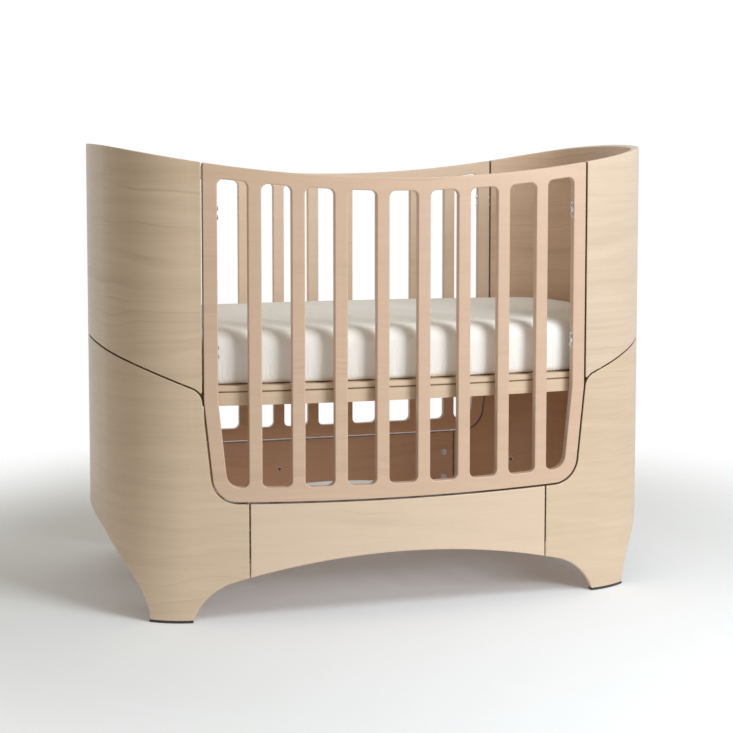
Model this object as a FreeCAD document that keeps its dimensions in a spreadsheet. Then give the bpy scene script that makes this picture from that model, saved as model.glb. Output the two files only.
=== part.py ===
import FreeCAD, Part
import math
import os
import Sketcher

# Oval cot of bent plywood.  A lower frame (two gables that run down into the legs, two skirts)
# carries a crown (two upper gables, two slatted side panels).  The bed base hangs between them
# on eight bolts, at one of two heights, and the mattress lies loose on it.
# +X runs along the cot, +Y to its back, +Z up; the origin is on the floor under its middle.
# All lengths are in millimetres and all angles in degrees.

SIZES = (
    ("overall_length", 1240, "over the two rounded ends"),
    ("overall_width", 684, "over the two sides"),
    ("side_radius", 3436, "outer face of a long side, in plan"),
    ("side_turn", 7.4, "turn at which a long side meets its corner"),
    ("corner_turn", 76.92, "turn at which a corner meets the end"),
    ("wall", 18, "thickness of the bent plywood"),
    ("rim_height_end", 978, "top edge at the ends"),
    ("rim_height_middle", 906.5, "top edge in the middle of a side"),
    ("opening_count", 9, "openings in a slatted panel"),
    ("opening_width", 61.4, "clear width between two bars"),
    ("bar_width", 27, "width of a bar"),
    ("stile_width", 29.1, "upright at each end of a slatted panel"),
    ("top_rail", 27, "band above the openings"),
    ("bottom_rail", 30, "band below the openings"),
    ("panel_bottom", 240.7, "lower edge of a slatted panel, at its middle"),
    ("sole_radius", 11000, "curve of that lower edge"),
    ("knee_height", 455, "where the stiles start to lean inwards"),
    ("stile_lean", 5.68, "lean of the stiles below the knee"),
    ("knee_radius", 150, "rounding of the knee"),
    ("panel_corner", 55, "lower corners of a slatted panel"),
    ("opening_corner", 13.5, "corners of the openings"),
    ("shoulder_flat", 1.5, "straight rest of an end opening's lower edge"),
    ("panel_gap", 3.2, "air round a slatted panel"),
    ("seam_gap", 2.4, "air at the other seams"),
    ("wave_height", 472.3, "top of the lower gable beside the panel"),
    ("wave_angle", 23.2, "slope of the seam between the gables"),
    ("wave_corner", 34, "rounded tip of the lower gable"),
    ("skirt_set_in", 92.6, "end of a skirt, inside the outer edge of a stile"),
    ("arch_span", 877, "between the legs at the floor, along the cot"),
    ("arch_crown", 126, "height of the side arch"),
    ("arch_foot_radius", 120, "rounding of the side arch into a leg"),
    ("arch_foot_depth", 36, "how far below the floor that rounding is centred"),
    ("end_leg_width", 61.5, "leg at the floor, from the cot's side to the end arch"),
    ("end_arch_foot_radius", 174.6, "rounding of the end arch into a leg"),
    ("end_arch_lift", 9.2, "rise of the end arch above those roundings"),
    ("edge_round", 2.2, "rounding of the plywood's long edges"),
    ("tip_round", 3, "rounding of the outline's sharp corners"),
    ("glide_height", 6, "plastic glide under each leg"),
    ("glide_inset", 1, "glide's edge inside the leg's"),
    ("glide_screw_inset", 7.5, "from a glide's end to its screw"),
    ("lower_plate_height", 554, "lower steel plate on a stile"),
    ("upper_plate_height", 836, "upper steel plate on a stile"),
    ("plate_height", 34, "steel plate, up and down"),
    ("plate_width", 11, "steel plate, across the edge"),
    ("plate_thickness", 2, "steel plate"),
    ("plate_pitch", 18, "between a plate's two bolts"),
    ("bolt_radius", 3, "shank of every bolt"),
    ("bolt_head_radius", 5, "head of every bolt"),
    ("bolt_head_height", 3, "head of every bolt"),
    ("key_radius", 2.3, "hexagon socket, over its corners"),
    ("key_depth", 2, "hexagon socket"),
    ("bolt_play", 0.1, "air round a shank in its hole"),
    ("seat_depth", 0.5, "flat seat of a base bolt's head"),
    ("edge_insert_radius", 4.4, "threaded sleeve in the edge of an upper gable"),
    ("edge_insert_length", 24, "threaded sleeve in the edge of an upper gable"),
    ("cam_radius", 7.5, "cam in a skirt"),
    ("cam_depth", 13.5, "cam in a skirt"),
    ("cam_edge", 24, "from a cam's middle to the skirt's end"),
    ("lower_cam_height", 124, "lower cam"),
    ("upper_cam_height", 188, "upper cam"),
    ("cam_bolt_grip", 20, "cam bolt's length in the gable"),
    ("dowel_radius", 4, "wooden dowel"),
    ("dowel_length", 40, "wooden dowel"),
    ("dowel_chamfer", 1, "wooden dowel's ends"),
    ("lower_dowel_height", 156, "lower dowel of a skirt's end"),
    ("upper_dowel_height", 218, "upper dowel of a skirt's end"),
    ("base_height", 482, "top of the bed base, hung high"),
    ("base_drop", 290, "from the high to the low place of the bed base"),
    ("base_clearance", 6, "air between the bed base and the wall"),
    ("board_thickness", 12, "bed base board"),
    ("board_round", 1.5, "edge of the board"),
    ("rail_height", 28.5, "curved rail under the board"),
    ("rail_thickness", 18, "curved rail under the board"),
    ("rail_half_length", 404, "half of a long rail"),
    ("rail_chamfer", 2, "groove between board and rail"),
    ("rail_set_back", 0.8, "rail behind the board's edge"),
    ("bearer_width", 45, "cross bearer"),
    ("bearer_spacing", 265, "between two cross bearers"),
    ("fit", 0.3, "air where two pieces meet"),
    ("slot_count", 8, "air slots of the board"),
    ("slot_spacing", 88.4, "between two air slots"),
    ("slot_length", 360, "air slot"),
    ("slot_radius", 11, "air slot"),
    ("base_bolt_spread", 265.2, "between the two base bolts of one side"),
    ("base_bolt_turn", 18.5, "turn of the corner where a base bolt sits"),
    ("base_bolt_drop", 26.5, "base bolts below the top of the base"),
    ("insert_radius", 5, "sleeve of a base bolt"),
    ("insert_length", 13, "sleeve of a base bolt"),
    ("insert_flange_radius", 7, "rim of that sleeve"),
    ("insert_flange", 0.8, "rim of that sleeve"),
    ("screw_radius", 2, "wood screw"),
    ("screw_head_radius", 4, "wood screw"),
    ("screw_head_height", 2.5, "wood screw"),
    ("screw_length", 26, "wood screw"),
    ("mattress_thickness", 110.5, "mattress"),
    ("mattress_clearance", 8.5, "air between mattress and wall"),
    ("mattress_top_round", 26, "mattress's upper edge"),
    ("mattress_bottom_round", 12, "mattress's lower edge"),
)

# Lengths and angles that follow from the sizes.
LAYOUT = (
    ("half_length", "Sizes.overall_length / 2"),
    ("half_width", "Sizes.overall_width / 2"),
    ("side_sin", "sin(Sizes.side_turn)"),
    ("side_cos", "cos(Sizes.side_turn)"),
    ("corner_sin", "sin(Sizes.corner_turn)"),
    ("corner_cos", "cos(Sizes.corner_turn)"),
    ("reach_x", "Layout.half_length - Sizes.side_radius * Layout.side_sin"),
    ("reach_y", "Layout.half_width - Sizes.side_radius * (1 - Layout.side_cos)"),
    ("split", "(Layout.corner_sin - Layout.side_sin) * Layout.corner_cos"
              " - (1 - Layout.corner_sin) * (Layout.side_cos - Layout.corner_cos)"),
    ("corner_radius", "(Layout.reach_x * Layout.corner_cos"
                      " - Layout.reach_y * (1 - Layout.corner_sin)) / Layout.split"),
    ("end_radius", "((Layout.corner_sin - Layout.side_sin) * Layout.reach_y"
                   " - (Layout.side_cos - Layout.corner_cos) * Layout.reach_x) / Layout.split"),
    ("side_centre", "Sizes.side_radius - Layout.half_width"),
    ("corner_x", "(Sizes.side_radius - Layout.corner_radius) * Layout.side_sin"),
    ("corner_y", "Layout.side_centre - (Sizes.side_radius - Layout.corner_radius) * Layout.side_cos"),
    ("end_x", "Layout.half_length - Layout.end_radius"),
    ("far", "Layout.half_length + 20"),
    ("blank_height", "Sizes.rim_height_end + 20"),
    ("rim_dip", "Sizes.rim_height_end - Sizes.rim_height_middle"),
    ("rim_radius", "(Layout.half_length ^ 2 + Layout.rim_dip ^ 2) / (2 * Layout.rim_dip)"),
    ("rim_centre", "Sizes.rim_height_middle + Layout.rim_radius"),
    ("opening_pitch", "Sizes.opening_width + Sizes.bar_width"),
    ("opening_half", "(Sizes.opening_count * Layout.opening_pitch - Sizes.bar_width) / 2"),
    ("panel_half", "Layout.opening_half + Sizes.stile_width"),
    ("gap_x", "Layout.panel_half + Sizes.panel_gap"),
    ("lean", "tan(Sizes.stile_lean)"),
    ("shoulder_lean", "(Sizes.knee_height - Sizes.panel_bottom - Sizes.bottom_rail) * Layout.lean"),
    ("shoulder_corner", "(Sizes.opening_width - Layout.shoulder_lean - Sizes.opening_corner"
                        " - Sizes.shoulder_flat) * tan(45 + Sizes.stile_lean / 2)"),
    ("rise", "tan(Sizes.wave_angle)"),
    ("wave_sin", "sin(Sizes.wave_angle)"),
    ("wave_cos", "cos(Sizes.wave_angle)"),
    ("tip_x", "Layout.gap_x + Layout.lean * (Sizes.wave_height - Sizes.knee_height)"
              " / (1 - Layout.lean * Layout.rise)"),
    ("tip_z", "Sizes.wave_height + (Layout.tip_x - Layout.gap_x) * Layout.rise"),
    ("tip_run", "Sizes.wave_corner / tan(45 + Sizes.wave_angle / 2 + Sizes.stile_lean / 2)"),
    ("tip_centre_x", "Layout.tip_x + Layout.tip_run * Layout.wave_cos"
                     " + Sizes.wave_corner * Layout.wave_sin"),
    ("tip_centre_z", "Layout.tip_z + Layout.tip_run * Layout.wave_sin"
                     " - Sizes.wave_corner * Layout.wave_cos"),
    ("tip_outer", "Sizes.wave_corner + Sizes.seam_gap"),
    ("wave_lift", "Sizes.seam_gap / Layout.wave_cos"),
    ("skirt_half", "Layout.panel_half - Sizes.skirt_set_in"),
    ("gable_start", "Layout.skirt_half + Sizes.seam_gap"),
    ("arch_foot_x", "Sizes.arch_span / 2"
                    " - sqrt(Sizes.arch_foot_radius ^ 2 - Sizes.arch_foot_depth ^ 2)"),
    ("arch_tall", "Sizes.arch_crown + Sizes.arch_foot_depth"),
    ("arch_radius", "(Layout.arch_foot_x ^ 2 + Layout.arch_tall ^ 2 - Sizes.arch_foot_radius ^ 2)"
                    " / (2 * (Layout.arch_tall - Sizes.arch_foot_radius))"),
    ("arch_centre", "Sizes.arch_crown - Layout.arch_radius"),
    ("arch_share", "Layout.arch_radius / (Layout.arch_radius - Sizes.arch_foot_radius)"),
    ("end_arch_half", "Layout.half_width - Sizes.end_leg_width"),
    ("end_foot_y", "Layout.end_arch_half - Sizes.end_arch_foot_radius"),
    ("end_tall", "Sizes.end_arch_foot_radius + Sizes.end_arch_lift"),
    ("end_arch_radius", "(Layout.end_foot_y ^ 2 + Layout.end_tall ^ 2"
                        " - Sizes.end_arch_foot_radius ^ 2) / (2 * Sizes.end_arch_lift)"),
    ("end_centre", "Layout.end_tall - Layout.end_arch_radius"),
    ("end_share", "Layout.end_arch_radius / (Layout.end_arch_radius - Sizes.end_arch_foot_radius)"),
    ("foot_start", "Layout.arch_foot_x + sqrt(Sizes.arch_foot_radius ^ 2"
                   " - (Sizes.glide_height + Sizes.arch_foot_depth) ^ 2) + Sizes.glide_inset"),
    ("foot_stop", "Layout.end_arch_half + Sizes.glide_inset"),
    ("foot_radius", "Layout.corner_radius - Sizes.wall / 2"),
    ("foot_first_turn", "asin((Layout.foot_start + Sizes.glide_screw_inset - Layout.corner_x)"
                        " / Layout.foot_radius) / 1 deg"),
    ("foot_last_turn", "acos((Layout.foot_stop + Sizes.glide_screw_inset + Layout.corner_y)"
                       " / Layout.foot_radius) / 1 deg"),
    ("middle_radius", "Sizes.side_radius - Sizes.wall / 2"),
    ("gap_turn", "asin((Layout.panel_half + Sizes.panel_gap / 2) / Layout.middle_radius) / 1 deg"),
    ("plate_run", "(Layout.panel_half + Sizes.panel_gap / 2 - Layout.opening_half)"
                  " / cos(Layout.gap_turn)"),
    ("plate_x", "Layout.middle_radius * sin(Layout.gap_turn)"
                " - Layout.plate_run * cos(Layout.gap_turn)"),
    ("plate_y", "Layout.side_centre - Layout.middle_radius * cos(Layout.gap_turn)"
                " - Layout.plate_run * sin(Layout.gap_turn)"),
    ("stile_run", "Sizes.stile_width / cos(Layout.gap_turn)"),
    ("seam_turn", "asin((Layout.skirt_half + Sizes.seam_gap / 2) / Layout.middle_radius) / 1 deg"),
    ("cam_turn", "asin((Layout.skirt_half - Sizes.cam_edge) / (Sizes.side_radius - Sizes.wall))"
                 " / 1 deg"),
    ("bolt_turn", "asin(Sizes.base_bolt_spread / 2 / (Sizes.side_radius - Sizes.wall)) / 1 deg"),
    ("bolt_height", "Sizes.base_height - Sizes.base_bolt_drop"),
    ("board_bottom", "Sizes.base_height - Sizes.board_thickness"),
    ("rail_bottom", "Layout.board_bottom - Sizes.rail_height"),
    ("board_inset", "Sizes.wall + Sizes.base_clearance"),
    ("rail_inset", "Layout.board_inset + Sizes.rail_set_back"),
    ("rail_inner", "Layout.rail_inset + Sizes.rail_thickness"),
    ("mattress_inset", "Sizes.wall + Sizes.mattress_clearance"),
    ("mattress_bottom", "Sizes.base_height + Sizes.fit"),
)

doc = FreeCAD.newDocument("cot")
sheet = doc.addObject("Spreadsheet::Sheet", "Sizes")
layout = doc.addObject("App::VarSet", "Layout")


def fill_sheet():
    """Write each driving size into the sheet and each derived length into the variable set."""
    for row, (alias, number, note) in enumerate(SIZES, start=1):
        sheet.set(f"A{row}", note)
        sheet.set(f"B{row}", str(number))
        sheet.setAlias(f"B{row}", alias)
    doc.recompute()
    for name, formula in LAYOUT:
        layout.addProperty("App::PropertyFloat", name, "Layout", "")
        layout.setExpression(name, formula)
    doc.recompute()


def value(formula):
    """Return what a formula over Sizes and Layout comes to."""
    return float(layout.evalExpression(formula))


# ---------------------------------------------------------------- sketches and features

def bind(sketch, constraint, formula):
    """Add a constraint and bind its value to a formula."""
    number = sketch.addConstraint(constraint)
    sketch.setExpression(f"Constraints[{number}]", formula)


def arc_between(start, stop, radius, side):
    """Return the short arc from start to stop, its centre to the left (side 1) or right (-1)."""
    chord = stop - start
    left = FreeCAD.Vector(-chord.y, chord.x, 0).normalize()
    rise = math.sqrt(radius ** 2 - (chord.Length / 2) ** 2)
    centre = (start + stop) * 0.5 + left * (side * rise)
    return Part.ArcOfCircle(start, centre - left * (side * radius), stop)


def draw(sketch, corners, arcs=None):
    """Draw a closed loop through corners, bound to its formulas; arcs maps an edge to radius, side."""
    arcs = arcs or {}
    places = [FreeCAD.Vector(value(across), value(up), 0) for across, up in corners]
    edges = []
    for index, start in enumerate(places):
        stop = places[(index + 1) % len(places)]
        if index in arcs:
            radius, side = arcs[index]
            number = sketch.addGeometry(arc_between(start, stop, value(radius), side), False)
        else:
            number = sketch.addGeometry(Part.LineSegment(start, stop), False)
        onward = start.distanceToPoint(sketch.getPoint(number, 1)) < start.distanceToPoint(
            sketch.getPoint(number, 2))
        edges.append((number, 1 if onward else 2, 2 if onward else 1))
    for index, (number, head, tail) in enumerate(edges):
        following = edges[(index + 1) % len(edges)]
        sketch.addConstraint(Sketcher.Constraint("Coincident", number, tail, following[0], following[1]))
        across, up = corners[index]
        place = places[index]
        bind(sketch, Sketcher.Constraint("DistanceX", number, head, place.x), across)
        bind(sketch, Sketcher.Constraint("DistanceY", number, head, place.y), up)
        if index in arcs:
            radius = arcs[index][0]
            bind(sketch, Sketcher.Constraint("Radius", number, value(radius)), radius)


def draw_circle(sketch, across, up, radius):
    """Draw a circle bound to its formulas."""
    centre = FreeCAD.Vector(value(across), value(up), 0)
    number = sketch.addGeometry(Part.Circle(centre, FreeCAD.Vector(0, 0, 1), value(radius)), False)
    bind(sketch, Sketcher.Constraint("DistanceX", number, 3, centre.x), across)
    bind(sketch, Sketcher.Constraint("DistanceY", number, 3, centre.y), up)
    bind(sketch, Sketcher.Constraint("Radius", number, value(radius)), radius)


def new_body(name):
    """Return an empty body."""
    return doc.addObject("PartDesign::Body", name)


def sketch_on(body, role, name):
    """Return a sketch on one of the body's own origin planes."""
    plane = next(part for part in body.Origin.OriginFeatures if part.Role == role)
    sketch = body.newObject("Sketcher::SketchObject", f"{body.Name}_{name}")
    sketch.AttachmentSupport = (plane, [""])
    sketch.MapMode = "FlatFace"
    return sketch


def pad(body, sketch, height, base=None):
    """Pad a sketch on XY upwards by height, starting at the height base."""
    if base is not None:
        sketch.setExpression("AttachmentOffset.Base.z", base)
    feature = body.newObject("PartDesign::Pad", f"{body.Name}_pad")
    feature.Profile = sketch
    feature.setExpression("Length", height)
    doc.recompute()
    return feature


def cut_through(body, sketch, name):
    """Pocket a sketch through the whole body, to both sides of its plane, and check it cuts."""
    before = body.Tip.Shape.Volume
    feature = body.newObject("PartDesign::Pocket", f"{body.Name}_{name}")
    feature.Profile = sketch
    feature.SideType = "Symmetric"
    feature.Type = "ThroughAll"
    doc.recompute()
    if feature.Shape.Volume > before - 1e-3:
        raise RuntimeError(f"{feature.Name} cuts nothing")
    return feature


def trim(body, corners, arcs):
    """Saw a bent blank to its side-view outline: what lies outside the outline is cut away."""
    sketch = sketch_on(body, "XZ_Plane", "outline")
    edge = "(Layout.far + 40)"
    draw(sketch, [(f"-{edge}", "-40"), (edge, "-40"),
                  (edge, "Layout.blank_height + 40"), (f"-{edge}", "Layout.blank_height + 40")])
    draw(sketch, corners, arcs)
    return cut_through(body, sketch, "trim")


def round_edges(body, name, chosen, radius):
    """Fillet the edges that chosen(edge) picks from the body's tip."""
    tip = body.Tip
    names = [f"Edge{number}" for number, edge in enumerate(tip.Shape.Edges, start=1) if chosen(edge)]
    if not names:
        raise RuntimeError(f"{body.Name} {name}: no edges")
    feature = body.newObject("PartDesign::Fillet", f"{body.Name}_{name}")
    feature.Base = (tip, names)
    feature.setExpression("Radius", radius)
    doc.recompute()
    if "Invalid" in feature.State or not feature.Shape.isValid():
        raise RuntimeError(f"{feature.Name} failed on {len(names)} edges")
    return feature


def at_corner(corners):
    """Return a test for edges that stand on one of the outline's corners and run along Y."""
    spots = [(value(across), value(up)) for across, up in corners]

    def test(edge):
        if len(edge.Vertexes) != 2:
            return False
        first, last = (vertex.Point for vertex in edge.Vertexes)
        if abs(first.x - last.x) > 0.01 or abs(first.z - last.z) > 0.01:
            return False
        return any(abs(first.x - x) < 0.05 and abs(first.z - z) < 0.05 for x, z in spots)
    return test


def skin_boundary(body):
    """Return a test for the edges between the wall's skins and its sawn faces, but not the feet's."""
    shape = body.Tip.Shape
    floor = value("Sizes.glide_height") + 0.01

    def is_skin(face):
        surface = face.Surface
        return isinstance(surface, Part.Cylinder) and abs(surface.Axis.z) > 0.999 and (
            surface.Radius > 40)

    def test(edge):
        if edge.BoundBox.ZMax < floor:
            return False
        faces = shape.ancestorsOfType(edge, Part.Face)
        return len(faces) == 2 and is_skin(faces[0]) != is_skin(faces[1])
    return test


# ---------------------------------------------------------------- the oval in plan

def times(sign, formula):
    """Return a formula with its sign set."""
    return f"({formula})" if sign > 0 else f"-({formula})"


def side_y(inset, across):
    """Return y on the front side at a place along it."""
    return f"Layout.side_centre - sqrt((Sizes.side_radius - ({inset})) ^ 2 - ({across}) ^ 2)"


def corner_spot(inset, turn_sin, turn_cos):
    """Return x, y on the front right corner where the outline has turned that far."""
    radius = f"(Layout.corner_radius - ({inset}))"
    return (f"Layout.corner_x + {radius} * {turn_sin}", f"Layout.corner_y - {radius} * {turn_cos}")


def oval(inset):
    """Return the loop of the whole oval, a distance inside the outer face."""
    near = corner_spot(inset, "Layout.side_sin", "Layout.side_cos")
    late = corner_spot(inset, "Layout.corner_sin", "Layout.corner_cos")
    corners = []
    for hand, facing, order in ((1, 1, (near, late)), (1, -1, (late, near)),
                                (-1, -1, (near, late)), (-1, 1, (late, near))):
        corners += [(times(hand, x), times(facing, y)) for x, y in order]
    side = f"Sizes.side_radius - ({inset})"
    corner = f"Layout.corner_radius - ({inset})"
    end = f"Layout.end_radius - ({inset})"
    arcs = {0: (corner, 1), 1: (end, 1), 2: (corner, 1), 3: (side, 1),
            4: (corner, 1), 5: (end, 1), 6: (corner, 1), 7: (side, 1)}
    return corners, arcs


def gable_ring(hand, start, outer, inner):
    """Return the U-shaped loop of one end, from x = start round to the other side."""
    chains = []
    for inset in (outer, inner):
        chain = [(start, side_y(inset, start)),
                 corner_spot(inset, "Layout.side_sin", "Layout.side_cos"),
                 corner_spot(inset, "Layout.corner_sin", "Layout.corner_cos")]
        chain += [(x, times(-1, y)) for x, y in reversed(chain)]
        chains.append(chain)
    corners = [(times(hand, x), y) for x, y in chains[0] + chains[1][::-1]]
    radii = ("Sizes.side_radius", "Layout.corner_radius", "Layout.end_radius",
             "Layout.corner_radius", "Sizes.side_radius")
    arcs = {index: (f"{radius} - ({outer})", hand) for index, radius in enumerate(radii)}
    arcs.update({index + 6: (f"{radius} - ({inner})", -hand) for index, radius in enumerate(radii)})
    return corners, arcs


def side_strip(facing, half, outer, inner):
    """Return the loop of a strip of one long side; facing is 1 at the front and -1 at the back."""
    corners = [(f"-({half})", times(facing, side_y(outer, half))),
               (half, times(facing, side_y(outer, half))),
               (half, times(facing, side_y(inner, half))),
               (f"-({half})", times(facing, side_y(inner, half)))]
    return corners, {0: (f"Sizes.side_radius - ({outer})", facing),
                     2: (f"Sizes.side_radius - ({inner})", -facing)}


# ---------------------------------------------------------------- heights in side view

def rim(across):
    """Return the height of the top edge."""
    return f"Layout.rim_centre - sqrt(Layout.rim_radius ^ 2 - ({across}) ^ 2)"


def sole(across, lift="0"):
    """Return the height of a slatted panel's lower edge, moved up by lift."""
    return (f"Sizes.panel_bottom + Sizes.sole_radius + ({lift})"
            f" - sqrt(Sizes.sole_radius ^ 2 - ({across}) ^ 2)")


def arch(across):
    """Return the height of the side arch near its middle."""
    return f"Layout.arch_centre + sqrt(Layout.arch_radius ^ 2 - ({across}) ^ 2)"


def leaning(across, height):
    """Return x at a height on an upright that leans inwards below the knee."""
    return f"{across} - (Sizes.knee_height - ({height})) * Layout.lean"


# ---------------------------------------------------------------- bent plywood pieces

def slatted_panel(name, facing):
    """Build a slatted side panel, sawn from one bent blank."""
    body = new_body(f"{name}_blank")
    plan = sketch_on(body, "XY_Plane", "plan")
    draw(plan, *side_strip(facing, "Layout.panel_half + 10", "0", "Sizes.wall"))
    pad(body, plan, "Layout.blank_height")
    half = "Layout.panel_half"
    low_x = leaning(half, "Sizes.panel_bottom")
    top = [(f"-{half}", rim(half)), (half, rim(half))]
    knees = [(half, "Sizes.knee_height"), (f"-{half}", "Sizes.knee_height")]
    low = [(low_x, sole(low_x)), (f"-({low_x})", sole(low_x))]
    trim(body, [top[0], top[1], knees[0], low[0], low[1], knees[1]],
         {0: ("Layout.rim_radius", 1), 3: ("Sizes.sole_radius", -1)})
    openings = sketch_on(body, "XZ_Plane", "openings")
    plain, shoulders, bends = [], [], []
    last = (int(value("Sizes.opening_count")) - 1) // 2
    floor = "Sizes.panel_bottom + Sizes.bottom_rail"
    for place in range(-last, last + 1):
        left = f"Layout.opening_pitch * {place} - Sizes.opening_width / 2"
        right = f"Layout.opening_pitch * {place} + Sizes.opening_width / 2"
        upper = [(left, f"{rim(left)} - Sizes.top_rail"), (right, f"{rim(right)} - Sizes.top_rail")]
        lower = [(right, sole(right, "Sizes.bottom_rail")), (left, sole(left, "Sizes.bottom_rail"))]
        if abs(place) < last:
            draw(openings, upper + lower)
            plain += upper + lower
            continue
        leaned = leaning("Layout.opening_half", floor)
        outer = f"{times(place, leaned)}", sole(leaned, "Sizes.bottom_rail")
        bend = (right if place > 0 else left, "Sizes.knee_height")
        inner = lower[1] if place > 0 else lower[0]
        chain = [bend, outer, inner] if place > 0 else [inner, outer, bend]
        draw(openings, upper + chain)
        plain += upper + [inner]
        shoulders.append(outer)
        bends.append(bend)
    cut_through(body, openings, "openings")
    round_edges(body, "corners", at_corner(plain), "Sizes.opening_corner")
    round_edges(body, "shoulders", at_corner(shoulders), "Layout.shoulder_corner")
    round_edges(body, "knees", at_corner(knees + bends), "Sizes.knee_radius")
    round_edges(body, "feet", at_corner(low), "Sizes.panel_corner")
    round_edges(body, "tips", at_corner(top), "Sizes.tip_round")
    round_edges(body, "edges", skin_boundary(body), "Sizes.edge_round")
    return body


def skirt(name, facing):
    """Build the skirt below a slatted panel."""
    body = new_body(f"{name}_blank")
    plan = sketch_on(body, "XY_Plane", "plan")
    draw(plan, *side_strip(facing, "Layout.skirt_half + 10", "0", "Sizes.wall"))
    pad(body, plan, "Layout.blank_height")
    half = "Layout.skirt_half"
    top = sole(half, "-Sizes.panel_gap")
    corners = [(f"-{half}", top), (half, top), (half, arch(half)), (f"-{half}", arch(half))]
    trim(body, corners, {0: ("Sizes.sole_radius", 1), 2: ("Layout.arch_radius", 1)})
    round_edges(body, "edges", skin_boundary(body), "Sizes.edge_round")
    return body


def upper_gable(name, hand):
    """Build an upper gable: everything above the sloping seam, round one end."""
    body = new_body(f"{name}_blank")
    plan = sketch_on(body, "XY_Plane", "plan")
    draw(plan, *gable_ring(hand, "Layout.gap_x - 10", "0", "Sizes.wall"))
    pad(body, plan, "Layout.blank_height")
    near = ("Layout.gap_x", "Layout.tip_centre_z + sqrt(Layout.tip_outer ^ 2"
                            " - (Layout.tip_centre_x - Layout.gap_x) ^ 2)")
    bend = ("Layout.tip_centre_x - Layout.tip_outer * Layout.wave_sin",
            "Layout.tip_centre_z + Layout.tip_outer * Layout.wave_cos")
    far_low = ("Layout.far", "Sizes.wave_height + Layout.wave_lift"
                             " + (Layout.far - Layout.gap_x) * Layout.rise")
    far_high = ("Layout.far", rim("Layout.far"))
    top = ("Layout.gap_x", rim("Layout.gap_x"))
    corners = [(times(hand, x), z) for x, z in (near, bend, far_low, far_high, top)]
    trim(body, corners, {0: ("Layout.tip_outer", -hand), 3: ("Layout.rim_radius", -hand)})
    round_edges(body, "tips", at_corner([corners[0], corners[4]]), "Sizes.tip_round")
    round_edges(body, "edges", skin_boundary(body), "Sizes.edge_round")
    return body


def lower_gable(name, hand):
    """Build a lower gable: one end below the sloping seam, with its two legs."""
    body = new_body(f"{name}_blank")
    plan = sketch_on(body, "XY_Plane", "plan")
    draw(plan, *gable_ring(hand, "Layout.gable_start - 10", "0", "Sizes.wall"))
    pad(body, plan, "Layout.blank_height")
    start = "Layout.gable_start"
    low_x = leaning("Layout.gap_x", "Sizes.panel_bottom - Sizes.panel_gap")
    foot = ("Layout.arch_foot_x + sqrt(Sizes.arch_foot_radius ^ 2"
            " - (Sizes.glide_height + Sizes.arch_foot_depth) ^ 2)")
    chain = (
        ("Layout.far", "Sizes.wave_height + (Layout.far - Layout.gap_x) * Layout.rise"),
        ("Layout.tip_x", "Layout.tip_z"),
        (low_x, sole(low_x, "-Sizes.panel_gap")),
        (start, sole(start, "-Sizes.panel_gap")),
        (start, arch(start)),
        ("Layout.arch_foot_x * Layout.arch_share",
         "Layout.arch_centre - (Sizes.arch_foot_depth + Layout.arch_centre) * Layout.arch_share"),
        (foot, "Sizes.glide_height"),
        ("Layout.far", "Sizes.glide_height"))
    corners = [(times(hand, x), z) for x, z in chain]
    trim(body, corners, {2: ("Sizes.sole_radius", -hand), 4: ("Layout.arch_radius", -hand),
                         5: ("Sizes.arch_foot_radius", -hand)})
    end = sketch_on(body, "YZ_Plane", "end_arch")
    half = "Layout.end_arch_half"
    shoulder = ("Layout.end_foot_y * Layout.end_share",
                "Layout.end_centre - Layout.end_centre * Layout.end_share")
    draw(end, [(f"-{half}", "-20"), (half, "-20"), (half, "0"), shoulder,
               (f"-{shoulder[0]}", shoulder[1]), (f"-{half}", "0")],
         {2: ("Sizes.end_arch_foot_radius", 1), 3: ("Layout.end_arch_radius", 1),
          4: ("Sizes.end_arch_foot_radius", 1)})
    cut_through(body, end, "end_arch")
    round_edges(body, "tips", at_corner([corners[1]]), "Sizes.wave_corner")
    round_edges(body, "seat", at_corner([corners[2]]), "Sizes.panel_corner + Sizes.panel_gap")
    round_edges(body, "edges", skin_boundary(body), "Sizes.edge_round")
    return body


# ---------------------------------------------------------------- places for the hardware

def sideways(facing, hand, turn):
    """Return the direction in plan that leads along the wall, towards the cot's end."""
    along = times(facing, turn)
    return along if hand > 0 else f"180 - ({along})"


def outwards(facing, hand, turn):
    """Return the direction in plan that leads out through the wall."""
    return f"{-90 * facing} + {times(hand * facing, turn)}"


def placed(x, y, z, yaw, pitch="90"):
    """Return a placement: local +Z is turned level by a pitch of 90 and then to the yaw."""
    return (f"create(<<placement>>; create(<<vector>>; {x}; {y}; {z});"
            f" create(<<rotation>>; {yaw}; {pitch}; 0))")


def on_side(facing, hand, turn, inset, along="0"):
    """Return x, y on a long side, moved along its tangent towards the end."""
    radius = f"(Sizes.side_radius - ({inset}))"
    x = f"{radius} * sin({turn}) + ({along}) * cos({turn})"
    y = f"Layout.side_centre - {radius} * cos({turn}) + ({along}) * sin({turn})"
    return times(hand, x), times(facing, y)


def on_corner(facing, hand, turn, inset):
    """Return x, y on a corner."""
    x, y = corner_spot(inset, f"sin({turn})", f"cos({turn})")
    return times(hand, x), times(facing, y)


FOUR_CORNERS = tuple((facing, hand) for facing in (1, -1) for hand in (-1, 1))
PLATE_HEIGHTS = ("Sizes.lower_plate_height", "Sizes.upper_plate_height")
CAM_HEIGHTS = ("Sizes.lower_cam_height", "Sizes.upper_cam_height")
DOWEL_HEIGHTS = ("Sizes.lower_dowel_height", "Sizes.upper_dowel_height")
SEAM_DOWEL_TURNS = ("12", "45", "90", "135", "168")
BASE_BOLT_HEIGHTS = {"high": "Layout.bolt_height", "low": "Layout.bolt_height - Sizes.base_drop"}


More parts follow.
